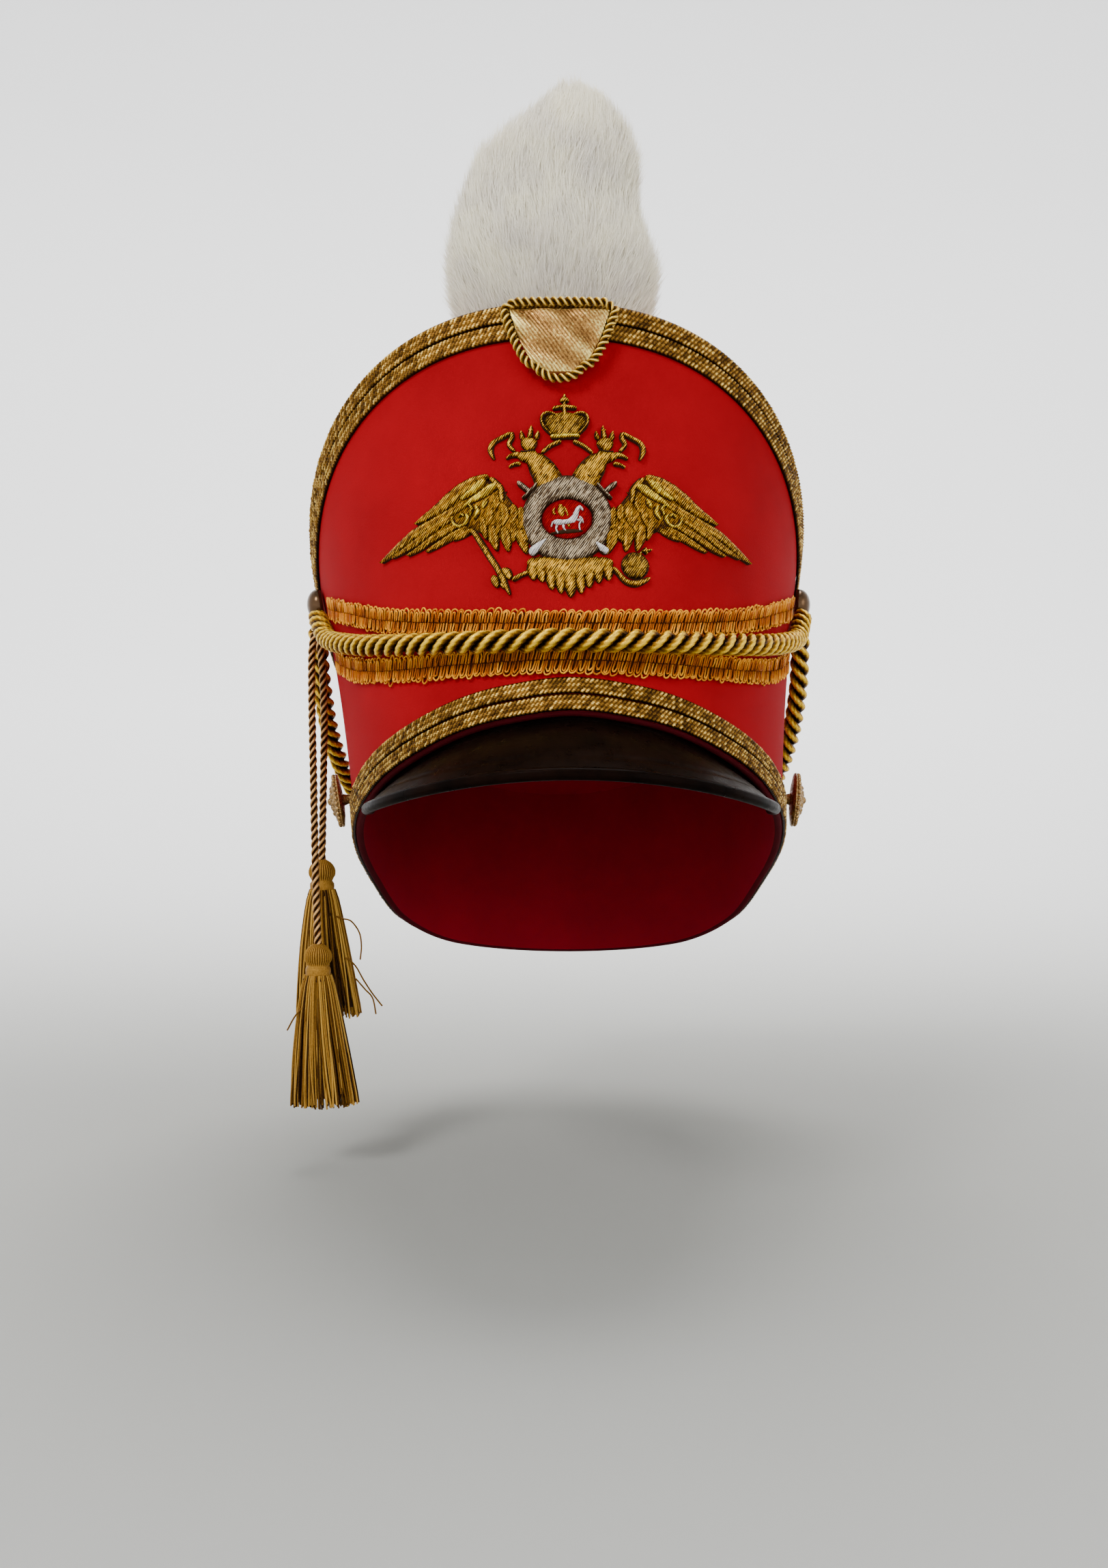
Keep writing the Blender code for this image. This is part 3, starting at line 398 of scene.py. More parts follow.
HORSE = (
    ((-72, -16, 12), (-50, -20, 34), (-5, -18, 28), (30, -4, 38), (46, 30, 28), (56, 62, 18)),
    ((55, 65, 19), (70, 55, 15), (80, 40, 7)),
    ((-70, -15, 13), (-80, -45, 6)),
    ((-50, -35, 19), (-55, -55, 10), (-45, -80, 9)),
    ((-20, -30, 19), (-15, -55, 10), (-5, -65, 9)),
    ((50, -10, 16), (70, -10, 12), (60, -35, 9), (65, -65, 7)),
    ((60, 10, 13), (75, -5, 10), (80, -25, 6)),
)
RIDER = (
    ((-22, 10, 30), (-30, 40, 40), (-34, 76, 20)),
    ((-60, 55, 7), (-70, 30, 15), (-55, 20, 7)),
    ((-15, 60, 7), (-5, 40, 13), (5, 10, 7)),
    ((0, -30, 7), (10, -40, 16), (15, -45, 6)),
)
GROUND = (
    ((-85, -80, 7), (-25, -70, 25), (35, -65, 25), (80, -65, 7)),
)

# Camera, as far from the hat as the photograph's
CAMERA_PLACE = (-0.006, -0.52, 0.0)
SENSOR = 36.0
LENS = 29.32
FLOOR_Z = -0.155
FLOOR_RADIUS = 1.2
BEND_RADIUS = 1.0
BACKDROP_HEIGHT = 3.5
FLOOR_NEAR = (0.28, 0.28, 0.26)
FLOOR_FAR = (0.91, 0.91, 0.91)
FLOOR_FADE = (0.1, 1.9)
FLOOR_RINGS = 12
BEND_RINGS = 16
FLOOR_SIDES = 96
SKY = (0.80, 0.82, 0.84)
SKY_STRENGTH = 0.70

# Factor on the colours of the threads, for the stage's bright light
THREAD_DIM = 0.80


# Numbers along curves


def curve_value(rows, column, places):
    """Values of a table's column at places in its first column, on a smooth curve."""
    knots = np.array([row[0] for row in rows], float)
    values = np.array([row[column] for row in rows], float)
    slopes = np.zeros(len(rows))
    slopes[1:-1] = (values[2:] - values[:-2]) / (knots[2:] - knots[:-2])
    places = np.clip(np.asarray(places, float), knots[0], knots[-1])
    index = np.clip(np.searchsorted(knots, places, side="right") - 1, 0, len(rows) - 2)
    width = knots[index + 1] - knots[index]
    share = (places - knots[index]) / width
    rise = values[index + 1] - values[index]
    ease = 3 * share**2 - 2 * share**3
    lead = share * (1 - share) ** 2 * slopes[index] * width
    tail = share**2 * (1 - share) * slopes[index + 1] * width
    return values[index] + rise * ease + lead - tail


def circle(count):
    """Angles in radians of a number of even steps round a circle."""
    return np.linspace(0, 2 * math.pi, count, endpoint=False)


def unit(vectors):
    """Vectors of length 1."""
    return vectors / np.maximum(np.linalg.norm(vectors, axis=-1, keepdims=True), 1e-12)


def signed_power(values, power):
    """Power of the values' size, with their own sign."""
    return np.sign(values) * np.abs(values) ** power


def edge_points(angles):
    """Points of the wall's bottom edge."""
    turn = np.radians(angles)
    rise = curve_value(EDGE_RISE, 1, np.abs((np.asarray(angles, float) + 180) % 360 - 180))
    level = EDGE_BACK_Z + (EDGE_FRONT_Z - EDGE_BACK_Z) * rise
    return np.stack((BASE_HALF_WIDTH * np.sin(turn), -BASE_HALF_DEPTH * np.cos(turn), level), -1)


def rim_points(angles):
    """Points of the wall's rim."""
    turn = np.radians(angles)
    power = 2 / RIM_SQUARENESS
    across = RIM_HALF_WIDTH * signed_power(np.sin(turn), power)
    along = -RIM_HALF_DEPTH * signed_power(np.cos(turn), power)
    return np.stack((RIM_LEAN + across, RIM_SETBACK + along, RIM_HEIGHT - RIM_SLOPE * along), -1)


def wall_length(angles):
    """Distance up the wall from the bottom edge to the rim."""
    return np.linalg.norm(rim_points(angles) - edge_points(angles), axis=-1)


def outward(angles, heights):
    """Directions out of the wall."""
    step = 0.5
    share = np.asarray(heights, float)[..., None]
    ahead = edge_points(angles + step) * (1 - share) + rim_points(angles + step) * share
    behind = edge_points(angles - step) * (1 - share) + rim_points(angles - step) * share
    return unit(np.cross(ahead - behind, rim_points(angles) - edge_points(angles)))


def wall_points(angles, heights, out=0.0):
    """Points at a distance out from the wall's outer face."""
    angles, heights, out = np.broadcast_arrays(np.asarray(angles, float), heights, out)
    share = heights[..., None]
    plain = edge_points(angles) * (1 - share) + rim_points(angles) * share
    reach = out - WAIST_DEPTH * 4 * heights * (1 - heights)
    return plain + outward(angles, heights) * reach[..., None]


def height_at_level(angles, levels):
    """Heights on the wall that lie at levels Z."""
    low, high = edge_points(angles)[..., 2], rim_points(angles)[..., 2]
    return (levels - low) / (high - low)


def front_place(across, level):
    """Angles and heights on the front of the wall for places in the front view."""
    across, level = np.broadcast_arrays(np.asarray(across, float), level)
    low, high = np.full(across.shape, -85.0), np.full(across.shape, 85.0)
    for _ in range(24):
        angles = (low + high) / 2
        left = wall_points(angles, height_at_level(angles, level))[..., 0] < across
        low, high = np.where(left, angles, low), np.where(left, high, angles)
    angles = (low + high) / 2
    return angles, height_at_level(angles, level)


def front_points(across, level, out):
    """Points over the front of the wall, from their places in the front view."""
    angles, heights = front_place(across, level)
    return wall_points(angles, heights, out)


def smooth_route(route, spacing):
    """Points at a spacing along the smooth curve through a route."""
    points = np.array(route, float)
    ends = np.vstack((points[0] * 2 - points[1], points, points[-1] * 2 - points[-2]))
    share = np.linspace(0, 1, 24, endpoint=False)[:, None]
    fine = []
    for before, start, end, after in zip(ends, ends[1:], ends[2:], ends[3:]):
        pull = (end - before) * share + (before * 2 - start * 5 + end * 4 - after) * share**2
        fine.append(start + (pull + (start * 3 - before - end * 3 + after) * share**3) / 2)
    fine = np.vstack(fine + [points[-1:]])
    return resample(fine, spacing)


def resample(points, spacing):
    """The same line with points at an even spacing."""
    travelled = travel(points)
    count = max(int(round(travelled[-1] / spacing)), 2)
    marks = np.linspace(0, travelled[-1], count + 1)
    return np.stack([np.interp(marks, travelled, points[:, axis]) for axis in range(3)], -1)


def travel(points):
    """Distance along a line up to each of its points."""
    return np.concatenate(([0], np.cumsum(np.linalg.norm(np.diff(points, axis=0), axis=1))))


def carried_frames(points, first):
    """Two directions across a line at each of its points, carried along it without twist."""
    forward = unit(np.gradient(points, axis=0))
    side = np.array(first, float)
    sides = []
    for direction in forward:
        side = side - direction * side.dot(direction)
        side = side / np.linalg.norm(side)
        sides.append(side)
    sides = np.array(sides)
    return sides, np.cross(forward, sides)


# Meshes

# Shade of a mesh that has no painted shade or highlight of its own
PLAIN_SHADE = 0.55


class Soup:
    """Gathers grids of points into one mesh."""

    def __init__(self):
        self.points = []
        self.faces = []
        self.slots = []
        self.shades = []
        self.count = 0

    def add(self, points, faces, slots=0, shade=PLAIN_SHADE):
        """Add points with faces of one size.

        A shade from 0 to 1 runs from painted shade in the threads' hidden depths to a painted highlight on
        their brightest rise.
        """
        faces = np.asarray(faces)
        self.points.append(np.asarray(points, float).reshape(-1, 3))
        self.faces.append(faces + self.count)
        self.slots.append(np.broadcast_to(np.asarray(slots), (len(faces),)))
        self.shades.append(np.broadcast_to(np.ravel(shade), (len(self.points[-1]),)))
        self.count += len(self.points[-1])

    def grid(self, rows, ring=False, slot=0, shade=PLAIN_SHADE):
        """Skin rows of points, each a loop; ring joins the last row to the first, or ends are closed."""
        rows = np.asarray(rows, float)
        many, wide = rows.shape[:2]
        ids = np.arange(many * wide).reshape(many, wide)
        right, above = np.roll(ids, -1, axis=1), np.roll(ids, -1, axis=0)
        quads = np.stack((ids, right, np.roll(right, -1, axis=0), above), -1)
        slots = np.broadcast_to(np.reshape(slot, (-1, 1)), (many, wide))
        shade = np.broadcast_to(shade, (many, wide))
        drawn = many if ring else many - 1
        quads = quads[:drawn].reshape(-1, 4)
        if self.inside_out(rows, drawn):
            quads = quads[:, ::-1]
        self.add(rows, quads, slots[:drawn].reshape(-1), shade)
        if not ring:
            self.cap(rows[0], rows[1], slots[0, 0], shade[0, 0])
            self.cap(rows[-1], rows[-2], slots[-1, 0], shade[-1, 0])

    def cap(self, row, inner, slot, shade):
        """Close an end by a fan to its middle, facing away from the row inside it."""
        middle = row.mean(axis=0)
        count = len(row)
        normal = np.cross(row - middle, np.roll(row, -1, axis=0) - middle).sum(axis=0)
        index = np.arange(count)
        fan = np.stack((np.full(count, count), index, (index + 1) % count), -1)
        if normal.dot(middle - inner.mean(axis=0)) < 0:
            fan = fan[:, ::-1]
        self.add(np.vstack((row, middle)), fan, slot, shade=shade)

    @staticmethod
    def inside_out(rows, drawn):
        """Whether a grid's faces point into the form that it closes."""
        here = rows - rows.mean(axis=(0, 1))
        right, above = np.roll(here, -1, axis=1), np.roll(here, -1, axis=0)
        volume = (here * np.cross(right, above)).sum(axis=-1)
        corner = np.roll(right, -1, axis=0)
        volume = volume + (right * np.cross(corner, above)).sum(axis=-1)
        return volume[:drawn].sum() < 0

    def build(self, name, materials, slot, sharp=None):
        """Make the object, which rides on the hat; the slot is not used."""
        mesh = bpy.data.meshes.new(name)
        mesh.vertices.add(self.count)
        mesh.vertices.foreach_set("co", np.concatenate(self.points).ravel())
        corners = np.concatenate([faces.ravel() for faces in self.faces])
        sizes = np.concatenate([np.full(len(faces), faces.shape[1]) for faces in self.faces])
        mesh.loops.add(len(corners))
        mesh.loops.foreach_set("vertex_index", corners)
        mesh.polygons.add(len(sizes))
        mesh.polygons.foreach_set("loop_start", np.concatenate(([0], np.cumsum(sizes)[:-1])))
        for material in materials:
            mesh.materials.append(material)
        mesh.polygons.foreach_set("material_index", np.concatenate(self.slots))
        mesh.update(calc_edges=True)
        # The shade attribute carries the painted shade and highlight to the materials
        layer = mesh.attributes.new("shade", "FLOAT", "POINT")
        layer.data.foreach_set("value", np.concatenate(self.shades))
        mesh.shade_smooth()
        if sharp:
            mesh.set_sharp_from_angle(angle=math.radians(sharp))
        mesh.validate()
        return place(name, mesh, slot)


def place(name, data, slot):
    """Put an object in the scene, on the hat."""
    thing = bpy.data.objects.new(name, data)
    bpy.context.scene.collection.objects.link(thing)
    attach(thing, "root")
    return thing


def tube_rows(points, sides, radii, first=(0.0, 0.0, 1.0)):
    """Rows of points round a line."""
    points = np.asarray(points, float)
    side, up = carried_frames(points, first)
    turn = circle(sides)
    radii = np.broadcast_to(np.asarray(radii, float), (len(points),))[:, None, None]
    ring = side[:, None] * np.cos(turn)[:, None] + up[:, None] * np.sin(turn)[:, None]
    return points[:, None] + ring * radii


# Materials


def new_material(name, colour, roughness, metallic=0.0, **sockets):
    """Principled material; further sockets are set by name."""
    material = bpy.data.materials.new(name)
    material.use_nodes = True
    sockets.update(Base_Color=(*colour, 1.0), Roughness=roughness, Metallic=metallic)
    for socket, value in sockets.items():
        shader_input(material, socket.replace("_", " ")).default_value = value
    return material


def shader_input(material, name):
    """Socket of the material's shader."""
    return material.node_tree.nodes["Principled BSDF"].inputs[name]


def add_node(material, kind, **inputs):
    """Node with values on its inputs."""
    node = material.node_tree.nodes.new(kind)
    for socket, value in inputs.items():
        node.inputs[socket.replace("_", " ")].default_value = value
    return node


def wire(material, source, target):
    """Link two sockets."""
    material.node_tree.links.new(source, target)


def noise(material, scale, detail=3.0, roughness=0.6, stretch=(1, 1, 1)):
    """Noise in the object's own space, stretched along its axes."""
    where = add_node(material, "ShaderNodeTexCoord")
    mapping = add_node(material, "ShaderNodeMapping", Scale=stretch)
    wire(material, where.outputs["Object"], mapping.inputs["Vector"])
    texture = add_node(material, "ShaderNodeTexNoise", Scale=scale, Detail=detail,
                       Roughness=roughness)
    wire(material, mapping.outputs["Vector"], texture.inputs["Vector"])
    return texture.outputs["Fac"]


def ramp(material, source, stops):
    """Colours for a value: places and colours."""
    node = material.node_tree.nodes.new("ShaderNodeValToRGB")
    elements = node.color_ramp.elements
    while len(elements) < len(stops):
        elements.new(0.5)
    for element, (position, colour) in zip(elements, stops):
        element.position = position
        element.color = (*colour, 1.0)
    wire(material, source, node.inputs["Fac"])
    return node.outputs["Color"]


def value_range(material, source, low, high, start=0.3, end=0.7):
    """Map a value's range to another."""
    node = add_node(material, "ShaderNodeMapRange", From_Min=start, From_Max=end, To_Min=low, To_Max=high)
    wire(material, source, node.inputs["Value"])
    return node.outputs["Result"]


def bump(material, source, strength, distance):
    """Bump from a height on the material's shader."""
    node = add_node(material, "ShaderNodeBump", Strength=strength, Distance=distance)
    wire(material, source, node.inputs["Height"])
    wire(material, node.outputs["Normal"], shader_input(material, "Normal"))


def paint(material, colour):
    """Link a colour to the shader."""
    wire(material, colour, shader_input(material, "Base Color"))


def uneven_gloss(material, scale, detail, low, high):
    """Roughness that varies over the surface."""
    gloss = value_range(material, noise(material, scale, detail), low, high)
    wire(material, gloss, shader_input(material, "Roughness"))


def calculated(material, operation, *values, kind="ShaderNodeMath", output="Value"):
    """Result of a calculation on sockets and numbers."""
    node = add_node(material, kind)
    node.operation = operation
    for socket, value in zip(node.inputs, values):
        if isinstance(value, bpy.types.NodeSocket):
            wire(material, value, socket)
        else:
            socket.default_value = value
    return node.outputs[output]


def shaded(material, source, spread):
    """The mesh's painted shade and highlight, with a texture's variation round it."""
    shade = add_node(material, "ShaderNodeAttribute")
    shade.attribute_name = "shade"
    varied = calculated(material, "MULTIPLY_ADD", source, spread, -spread / 2)
    return calculated(material, "ADD", shade.outputs["Fac"], varied)


def times(colour, *factors):
    """Colour times one factor, or one for each channel."""
    return tuple(np.multiply(colour, factors).tolist())


def metal_thread(name, dark, middle, light, roughness=0.38, metallic=0.75, scale=900.0, spread=0.9):
    """Metallic thread: painted shade in its depths, painted highlight on its rises, with flecks and uneven
    gloss.
    """
    dark, middle, light = (times(colour, THREAD_DIM) for colour in (dark, middle, light))
    material = new_material(name, middle, roughness, metallic, Specular_IOR_Level=0.06)
    flecks = noise(material, scale, 2.0, 0.7)
    # The mesh's shade paints shade in the depths and highlights on the rises; the flecks vary the tone at
    # random
    paint(material, ramp(material, shaded(material, flecks, spread),
                         ((0.12, dark), (0.52, middle), (0.88, light))))
    uneven_gloss(material, scale * 0.6, 2.0, roughness - 0.14, roughness + 0.22)
    bump(material, noise(material, scale * 2.2, 2.0), 0.35, 0.0003)
    return material


def stitched(name, dark, middle, light, roughness, metallic):
    """Satin stitch: rows of slanted thread with painted shade between the threads, in broken dashes."""
    dark, middle, light = (times(colour, THREAD_DIM) for colour in (dark, middle, light))
    material = new_material(name, middle, roughness, metallic, Specular_IOR_Level=0.05)
    where = add_node(material, "ShaderNodeTexCoord")
    mapping = add_node(material, "ShaderNodeMapping", Rotation=(0.0, math.radians(STITCH_TILT), 0.0),
                       Scale=(STITCH_PITCH, STITCH_PITCH * 4, STITCH_LENGTH))
    mapping.vector_type = "TEXTURE"
    wire(material, where.outputs["Object"], mapping.inputs["Vector"])
    dashes = add_node(material, "ShaderNodeTexNoise", Scale=1.3, Detail=1.0, Roughness=0.5)
    wire(material, mapping.outputs["Vector"], dashes.inputs["Vector"])
    waves = add_node(material, "ShaderNodeTexWave", Scale=STITCH_WAVES, Distortion=2.2, Detail=1.0,
                     Detail_Scale=0.6)
    wire(material, mapping.outputs["Vector"], waves.inputs["Vector"])
    broken = value_range(material, dashes.outputs["Fac"], 0.0, 1 - STITCH_WAVE_SHARE)
    height = calculated(material, "MULTIPLY_ADD", waves.outputs["Fac"], STITCH_WAVE_SHARE, broken)
    # The ramp paints shade between the threads and, from the mesh's shade, at the edges of each strip
    paint(material, ramp(material, shaded(material, height, STITCH_CONTRAST),
                         ((0.24, dark), (0.54, middle), (0.90, light))))
    bump(material, height, 0.7, 0.0004)
    return material


def cloth_material(name, colour, sheen):
    """Felted wool cloth with a fine nap."""
    material = new_material(name, colour, 0.82, 0.0, Sheen_Weight=sheen, Sheen_Roughness=0.45,
                            Sheen_Tint=(1.0, 0.25, 0.2, 1.0), Specular_IOR_Level=0.06)
    shade, light = times(colour, 0.88), times(colour, 1.10)
    paint(material, ramp(material, noise(material, 22.0), ((0.3, shade), (0.7, light))))
    bump(material, noise(material, 1400.0, 4.0, 0.7), 0.22, 0.0004)
    return material


def leather_material(name, colour):
    """Near-black patent leather with faint brown painted sheen in patches, and fine creases."""
    material = new_material(name, colour, 0.30, 0.0, IOR=1.16, Specular_IOR_Level=0.07)
    # Brown patches of painted sheen over the near-black
    brown = times(colour, 2.6, 1.9, 1.5)
    paint(material, ramp(material, noise(material, 60.0), ((0.35, colour), (0.70, brown))))
    uneven_gloss(material, 240.0, 4.0, 0.24, 0.42)
    bump(material, noise(material, 900.0, 3.0, 0.6, (1, 1, 3)), 0.05, 0.0002)
    return material


def fur_material(name, colour):
    """Off-white fur, warmer and cooler in patches."""
    material = new_material(name, colour, 0.85, 0.0, Sheen_Weight=0.2, Specular_IOR_Level=0.15)
    cool = times(colour, 0.84, 0.83, 0.90)
    paint(material, ramp(material, noise(material, 55.0), ((0.34, cool), (0.62, colour))))
    return material


CLOTH = cloth_material("red_wool", (0.265, 0.0001, 0.0046), 0.01)
LINING = cloth_material("crimson_lining", (0.24, 0.0015, 0.012), 0.02)
# Rolled bottom edge of the wall, darker than the cloth: painted shade under the hem braid
FOLD_SHADE = cloth_material("fold_painted_shade", (0.055, 0.001, 0.004), 0.0)
# Braid thread: from each braid's shade it takes painted shade in the grooves and a painted highlight on
# the ribs
BRAID = metal_thread("antique_thread_painted_shade", (0.020, 0.007, 0.001), (0.36, 0.165, 0.021),
                     (1.0, 0.70, 0.18), 0.32, 0.65, 2600.0, 0.35)
GIMP = metal_thread("orange_thread", (0.060, 0.010, 0.001), (0.50, 0.112, 0.001),
                    (1.0, 0.42, 0.020), 0.42, 0.25, 2200.0, 0.4)
# Near-black ribbon under the loops: painted shade in the holes between the loops
GIMP_SHADE_GROUND = new_material("gimp_ground_painted_shade", (0.040, 0.009, 0.002), 0.85, 0.0, Specular_IOR_Level=0.1)
ROPE = metal_thread("rope_thread", (0.020, 0.006, 0.001), (0.27, 0.115, 0.003),
                    (1.0, 0.62, 0.035), 0.26, 0.6, 1800.0, 0.2)
CORD = metal_thread("cord_thread", (0.024, 0.007, 0.001), (0.18, 0.065, 0.014),
                    (0.80, 0.45, 0.16), 0.34, 0.5, 1800.0, 0.25)
TASSEL = metal_thread("tassel_thread", (0.030, 0.010, 0.002), (0.22, 0.092, 0.010),
                      (0.70, 0.38, 0.060), 0.40, 0.3, 1600.0, 0.3)
GILT = metal_thread("gilt_wire", (0.12, 0.050, 0.005), (0.56, 0.29, 0.025), (1.0, 0.72, 0.15),
                    0.28, 0.6, 2200.0, 0.5)
BUTTON = metal_thread("antique_button", (0.035, 0.017, 0.006), (0.30, 0.165, 0.052), (0.90, 0.62, 0.27),
                      0.28, 0.8, 1200.0, 1.0)
SEWN_DARK = new_material("sewn_outline", (0.028, 0.011, 0.004), 0.8, 0.0, Specular_IOR_Level=0.08)
GOLD_STITCH, BROWN_STITCH, BRIGHT_STITCH, OLIVE_STITCH, SILVER_STITCH, WHITE_STITCH, RED_STITCH, \
    DARK_STITCH = range(8)
THREADS = (
    stitched("sewn_gold", (0.026, 0.008, 0.001), (0.23, 0.092, 0.003), (0.90, 0.50, 0.040), 0.34, 0.4),
    stitched("sewn_brown", (0.022, 0.007, 0.001), (0.16, 0.057, 0.002), (0.50, 0.23, 0.012), 0.42, 0.3),
    stitched("sewn_bright", (0.12, 0.045, 0.002), (0.46, 0.24, 0.006), (1.0, 0.78, 0.07), 0.26, 0.45),
    stitched("sewn_olive", (0.014, 0.006, 0.001), (0.15, 0.068, 0.004), (0.60, 0.33, 0.028), 0.38, 0.35),
    stitched("sewn_silver", (0.022, 0.012, 0.006), (0.110, 0.066, 0.033), (0.56, 0.44, 0.28), 0.38, 0.3),
    stitched("sewn_white", (0.30, 0.27, 0.26), (0.70, 0.66, 0.63), (0.95, 0.92, 0.90), 0.45, 0.0),
    stitched("sewn_red", (0.16, 0.001, 0.002), (0.26, 0.001, 0.003), (0.36, 0.003, 0.004), 1.0, 0.0),
    SEWN_DARK,
)
BRONZE = new_material("dark_bronze", (0.085, 0.045, 0.020), 0.22, 0.85)
PATENT = leather_material("patent_leather", (0.0026, 0.0014, 0.0010))
LAME = metal_thread("gold_lame", (0.15, 0.060, 0.014), (0.48, 0.25, 0.068), (1.0, 0.80, 0.25), 0.28,
                    0.6, 1100.0, 1.2)
FUR = fur_material("fur_ground", (0.93, 0.87, 0.69))
HAIR = fur_material("white_hair", (0.97, 0.915, 0.74))


# Camera, floor and lights


def make_stage():
    """Camera at the photograph's angle, pale floor with a curved backdrop, soft lights."""
    scene = bpy.context.scene
    camera = bpy.data.cameras.new("camera")
    camera.sensor_width = SENSOR
    camera.lens = LENS
    camera.clip_start = 0.01
    holder = bpy.data.objects.new("camera", camera)
    holder.location = CAMERA_PLACE
    holder.rotation_euler = (math.pi / 2, 0.0, 0.0)
    scene.collection.objects.link(holder)
    scene.camera = holder

    world = bpy.data.worlds.new("studio")
    world.use_nodes = True
    background = world.node_tree.nodes["Background"].inputs
    background["Color"].default_value = (*SKY, 1.0)
    background["Strength"].default_value = SKY_STRENGTH
    scene.world = world

    pale = new_material("pale_floor", FLOOR_FAR, 0.95, 0.0, Specular_IOR_Level=0.1)
    where = add_node(pale, "ShaderNodeTexCoord")
    flat = calculated(pale, "MULTIPLY", where.outputs["Object"], (1.0, 1.0, 0.0),
                      kind="ShaderNodeVectorMath", output="Vector")
    distance = calculated(pale, "LENGTH", flat, kind="ShaderNodeVectorMath")
    # The floor's colour runs from dark near the middle to pale far out
    paint(pale, ramp(pale, value_range(pale, distance, 0.0, 1.0, *FLOOR_FADE),
                     ((0.0, FLOOR_NEAR), (1.0, FLOOR_FAR))))
    bend = np.linspace(0, math.pi / 2, BEND_RINGS)
    reach = np.concatenate((np.linspace(0.01, FLOOR_RADIUS, FLOOR_RINGS, endpoint=False),
                            FLOOR_RADIUS + BEND_RADIUS * np.sin(bend), (FLOOR_RADIUS + BEND_RADIUS,)))
    up = np.concatenate((np.zeros(FLOOR_RINGS), BEND_RADIUS * (1 - np.cos(bend)), (BACKDROP_HEIGHT,)))
    turn = circle(FLOOR_SIDES)
    rings = np.stack((reach[:, None] * np.cos(turn), reach[:, None] * np.sin(turn),
                      FLOOR_Z + up[:, None] + 0 * turn), -1)
    ids = np.arange(len(reach) * len(turn)).reshape(len(reach), len(turn))
    after = np.roll(ids, -1, axis=1)
    faces = np.stack((ids[:-1], ids[1:], after[1:], after[:-1]), -1)
    mesh = bpy.data.meshes.new("floor")
    mesh.from_pydata(rings.reshape(-1, 3).tolist(), [], faces.reshape(-1, 4).tolist() + [ids[0].tolist()])
    mesh.shade_smooth()
    mesh.materials.append(pale)
    floor = bpy.data.objects.new("floor", mesh)
    scene.collection.objects.link(floor)

    for name, location, target, size, power in LIGHTS:
        light = bpy.data.lights.new(name, "AREA")
        light.shape = "DISK"
        light.size = size
        light.energy = power
        lamp = bpy.data.objects.new(name, light)
        lamp.location = location
        aim = mathutils.Vector(target) - mathutils.Vector(location)
        lamp.rotation_euler = aim.to_track_quat("-Z", "Y").to_euler()
        scene.collection.objects.link(lamp)


# Crown


def ripple(angles, heights):
    """Slight waves that the cloth has on the stiff wall."""
    turn = np.radians(angles)
    return CLOTH_RIPPLE * (np.sin(3 * turn + 5 * heights) + np.sin(7 * turn - 4 * heights))


def make_crown():
    """Cloth wall with its folded rim, dark lining inside, and the top disc."""
    turn = np.degrees(circle(CROWN_SIDES))
    half = WALL_THICKNESS / 2
    low, high = half / wall_length(turn), 1 - half / wall_length(turn)
    up = unit(rim_points(turn) - edge_points(turn))
    rows, slots = [], []

    def add_row(height, out, lift, slot):
        rows.append(wall_points(turn, height, out) + up * lift)
        slots.append(slot)

    swings = np.linspace(0, math.pi, FOLD_ROWS + 2)[1:-1]
    for share in np.linspace(0, 1, WALL_ROWS):
        height = low + (high - low) * share
        fade = math.sin(math.pi * share)
        add_row(height, ripple(turn, height) * fade, 0.0, 0)
    for swing in swings:
        add_row(high, -half + half * math.cos(swing), half * math.sin(swing), 0)
    for share in np.linspace(1, 0, LINING_ROWS):
        add_row(low + (high - low) * share, -WALL_THICKNESS, 0.0, 1)
    # The rolled bottom edge takes the painted shade of slot 2
    for swing in swings:
        add_row(low, -half - half * math.cos(swing), -half * math.sin(swing), 2)
    soup = Soup()
    soup.grid(rows, ring=True, slot=slots)
    wall = soup.build("crown_cloth", (CLOTH, LINING, FOLD_SHADE), "red_cloth")
    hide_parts("crown_wall")

    shares = np.linspace(0.02, 1, TOP_ROWS)
    rows = [top_points(turn, share) for share in shares]
    rows += [top_points(turn, share, TOP_THICKNESS) for share in shares[::-1]]
    soup = Soup()
    soup.grid(rows, slot=[0] * len(shares) + [1] * len(shares))
    top = soup.build("top_cloth", (CLOTH, LINING), "red_cloth", sharp=50)
    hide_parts("crown_top")


def top_points(angles, share, down=0.0):
    """Points of the top disc at a share of the way from its middle to the wall."""
    level = 1 - (TOP_INSET + down) / wall_length(angles)
    edge = wall_points(angles, level, -(WALL_THICKNESS + GAP))
    middle = np.array((RIM_LEAN, RIM_SETBACK, RIM_HEIGHT - TOP_INSET - TOP_DISH - down))
    points = middle + (edge - middle) * share
    points[:, 2] -= TOP_DISH * (share - share**2)
    return points


# Braid


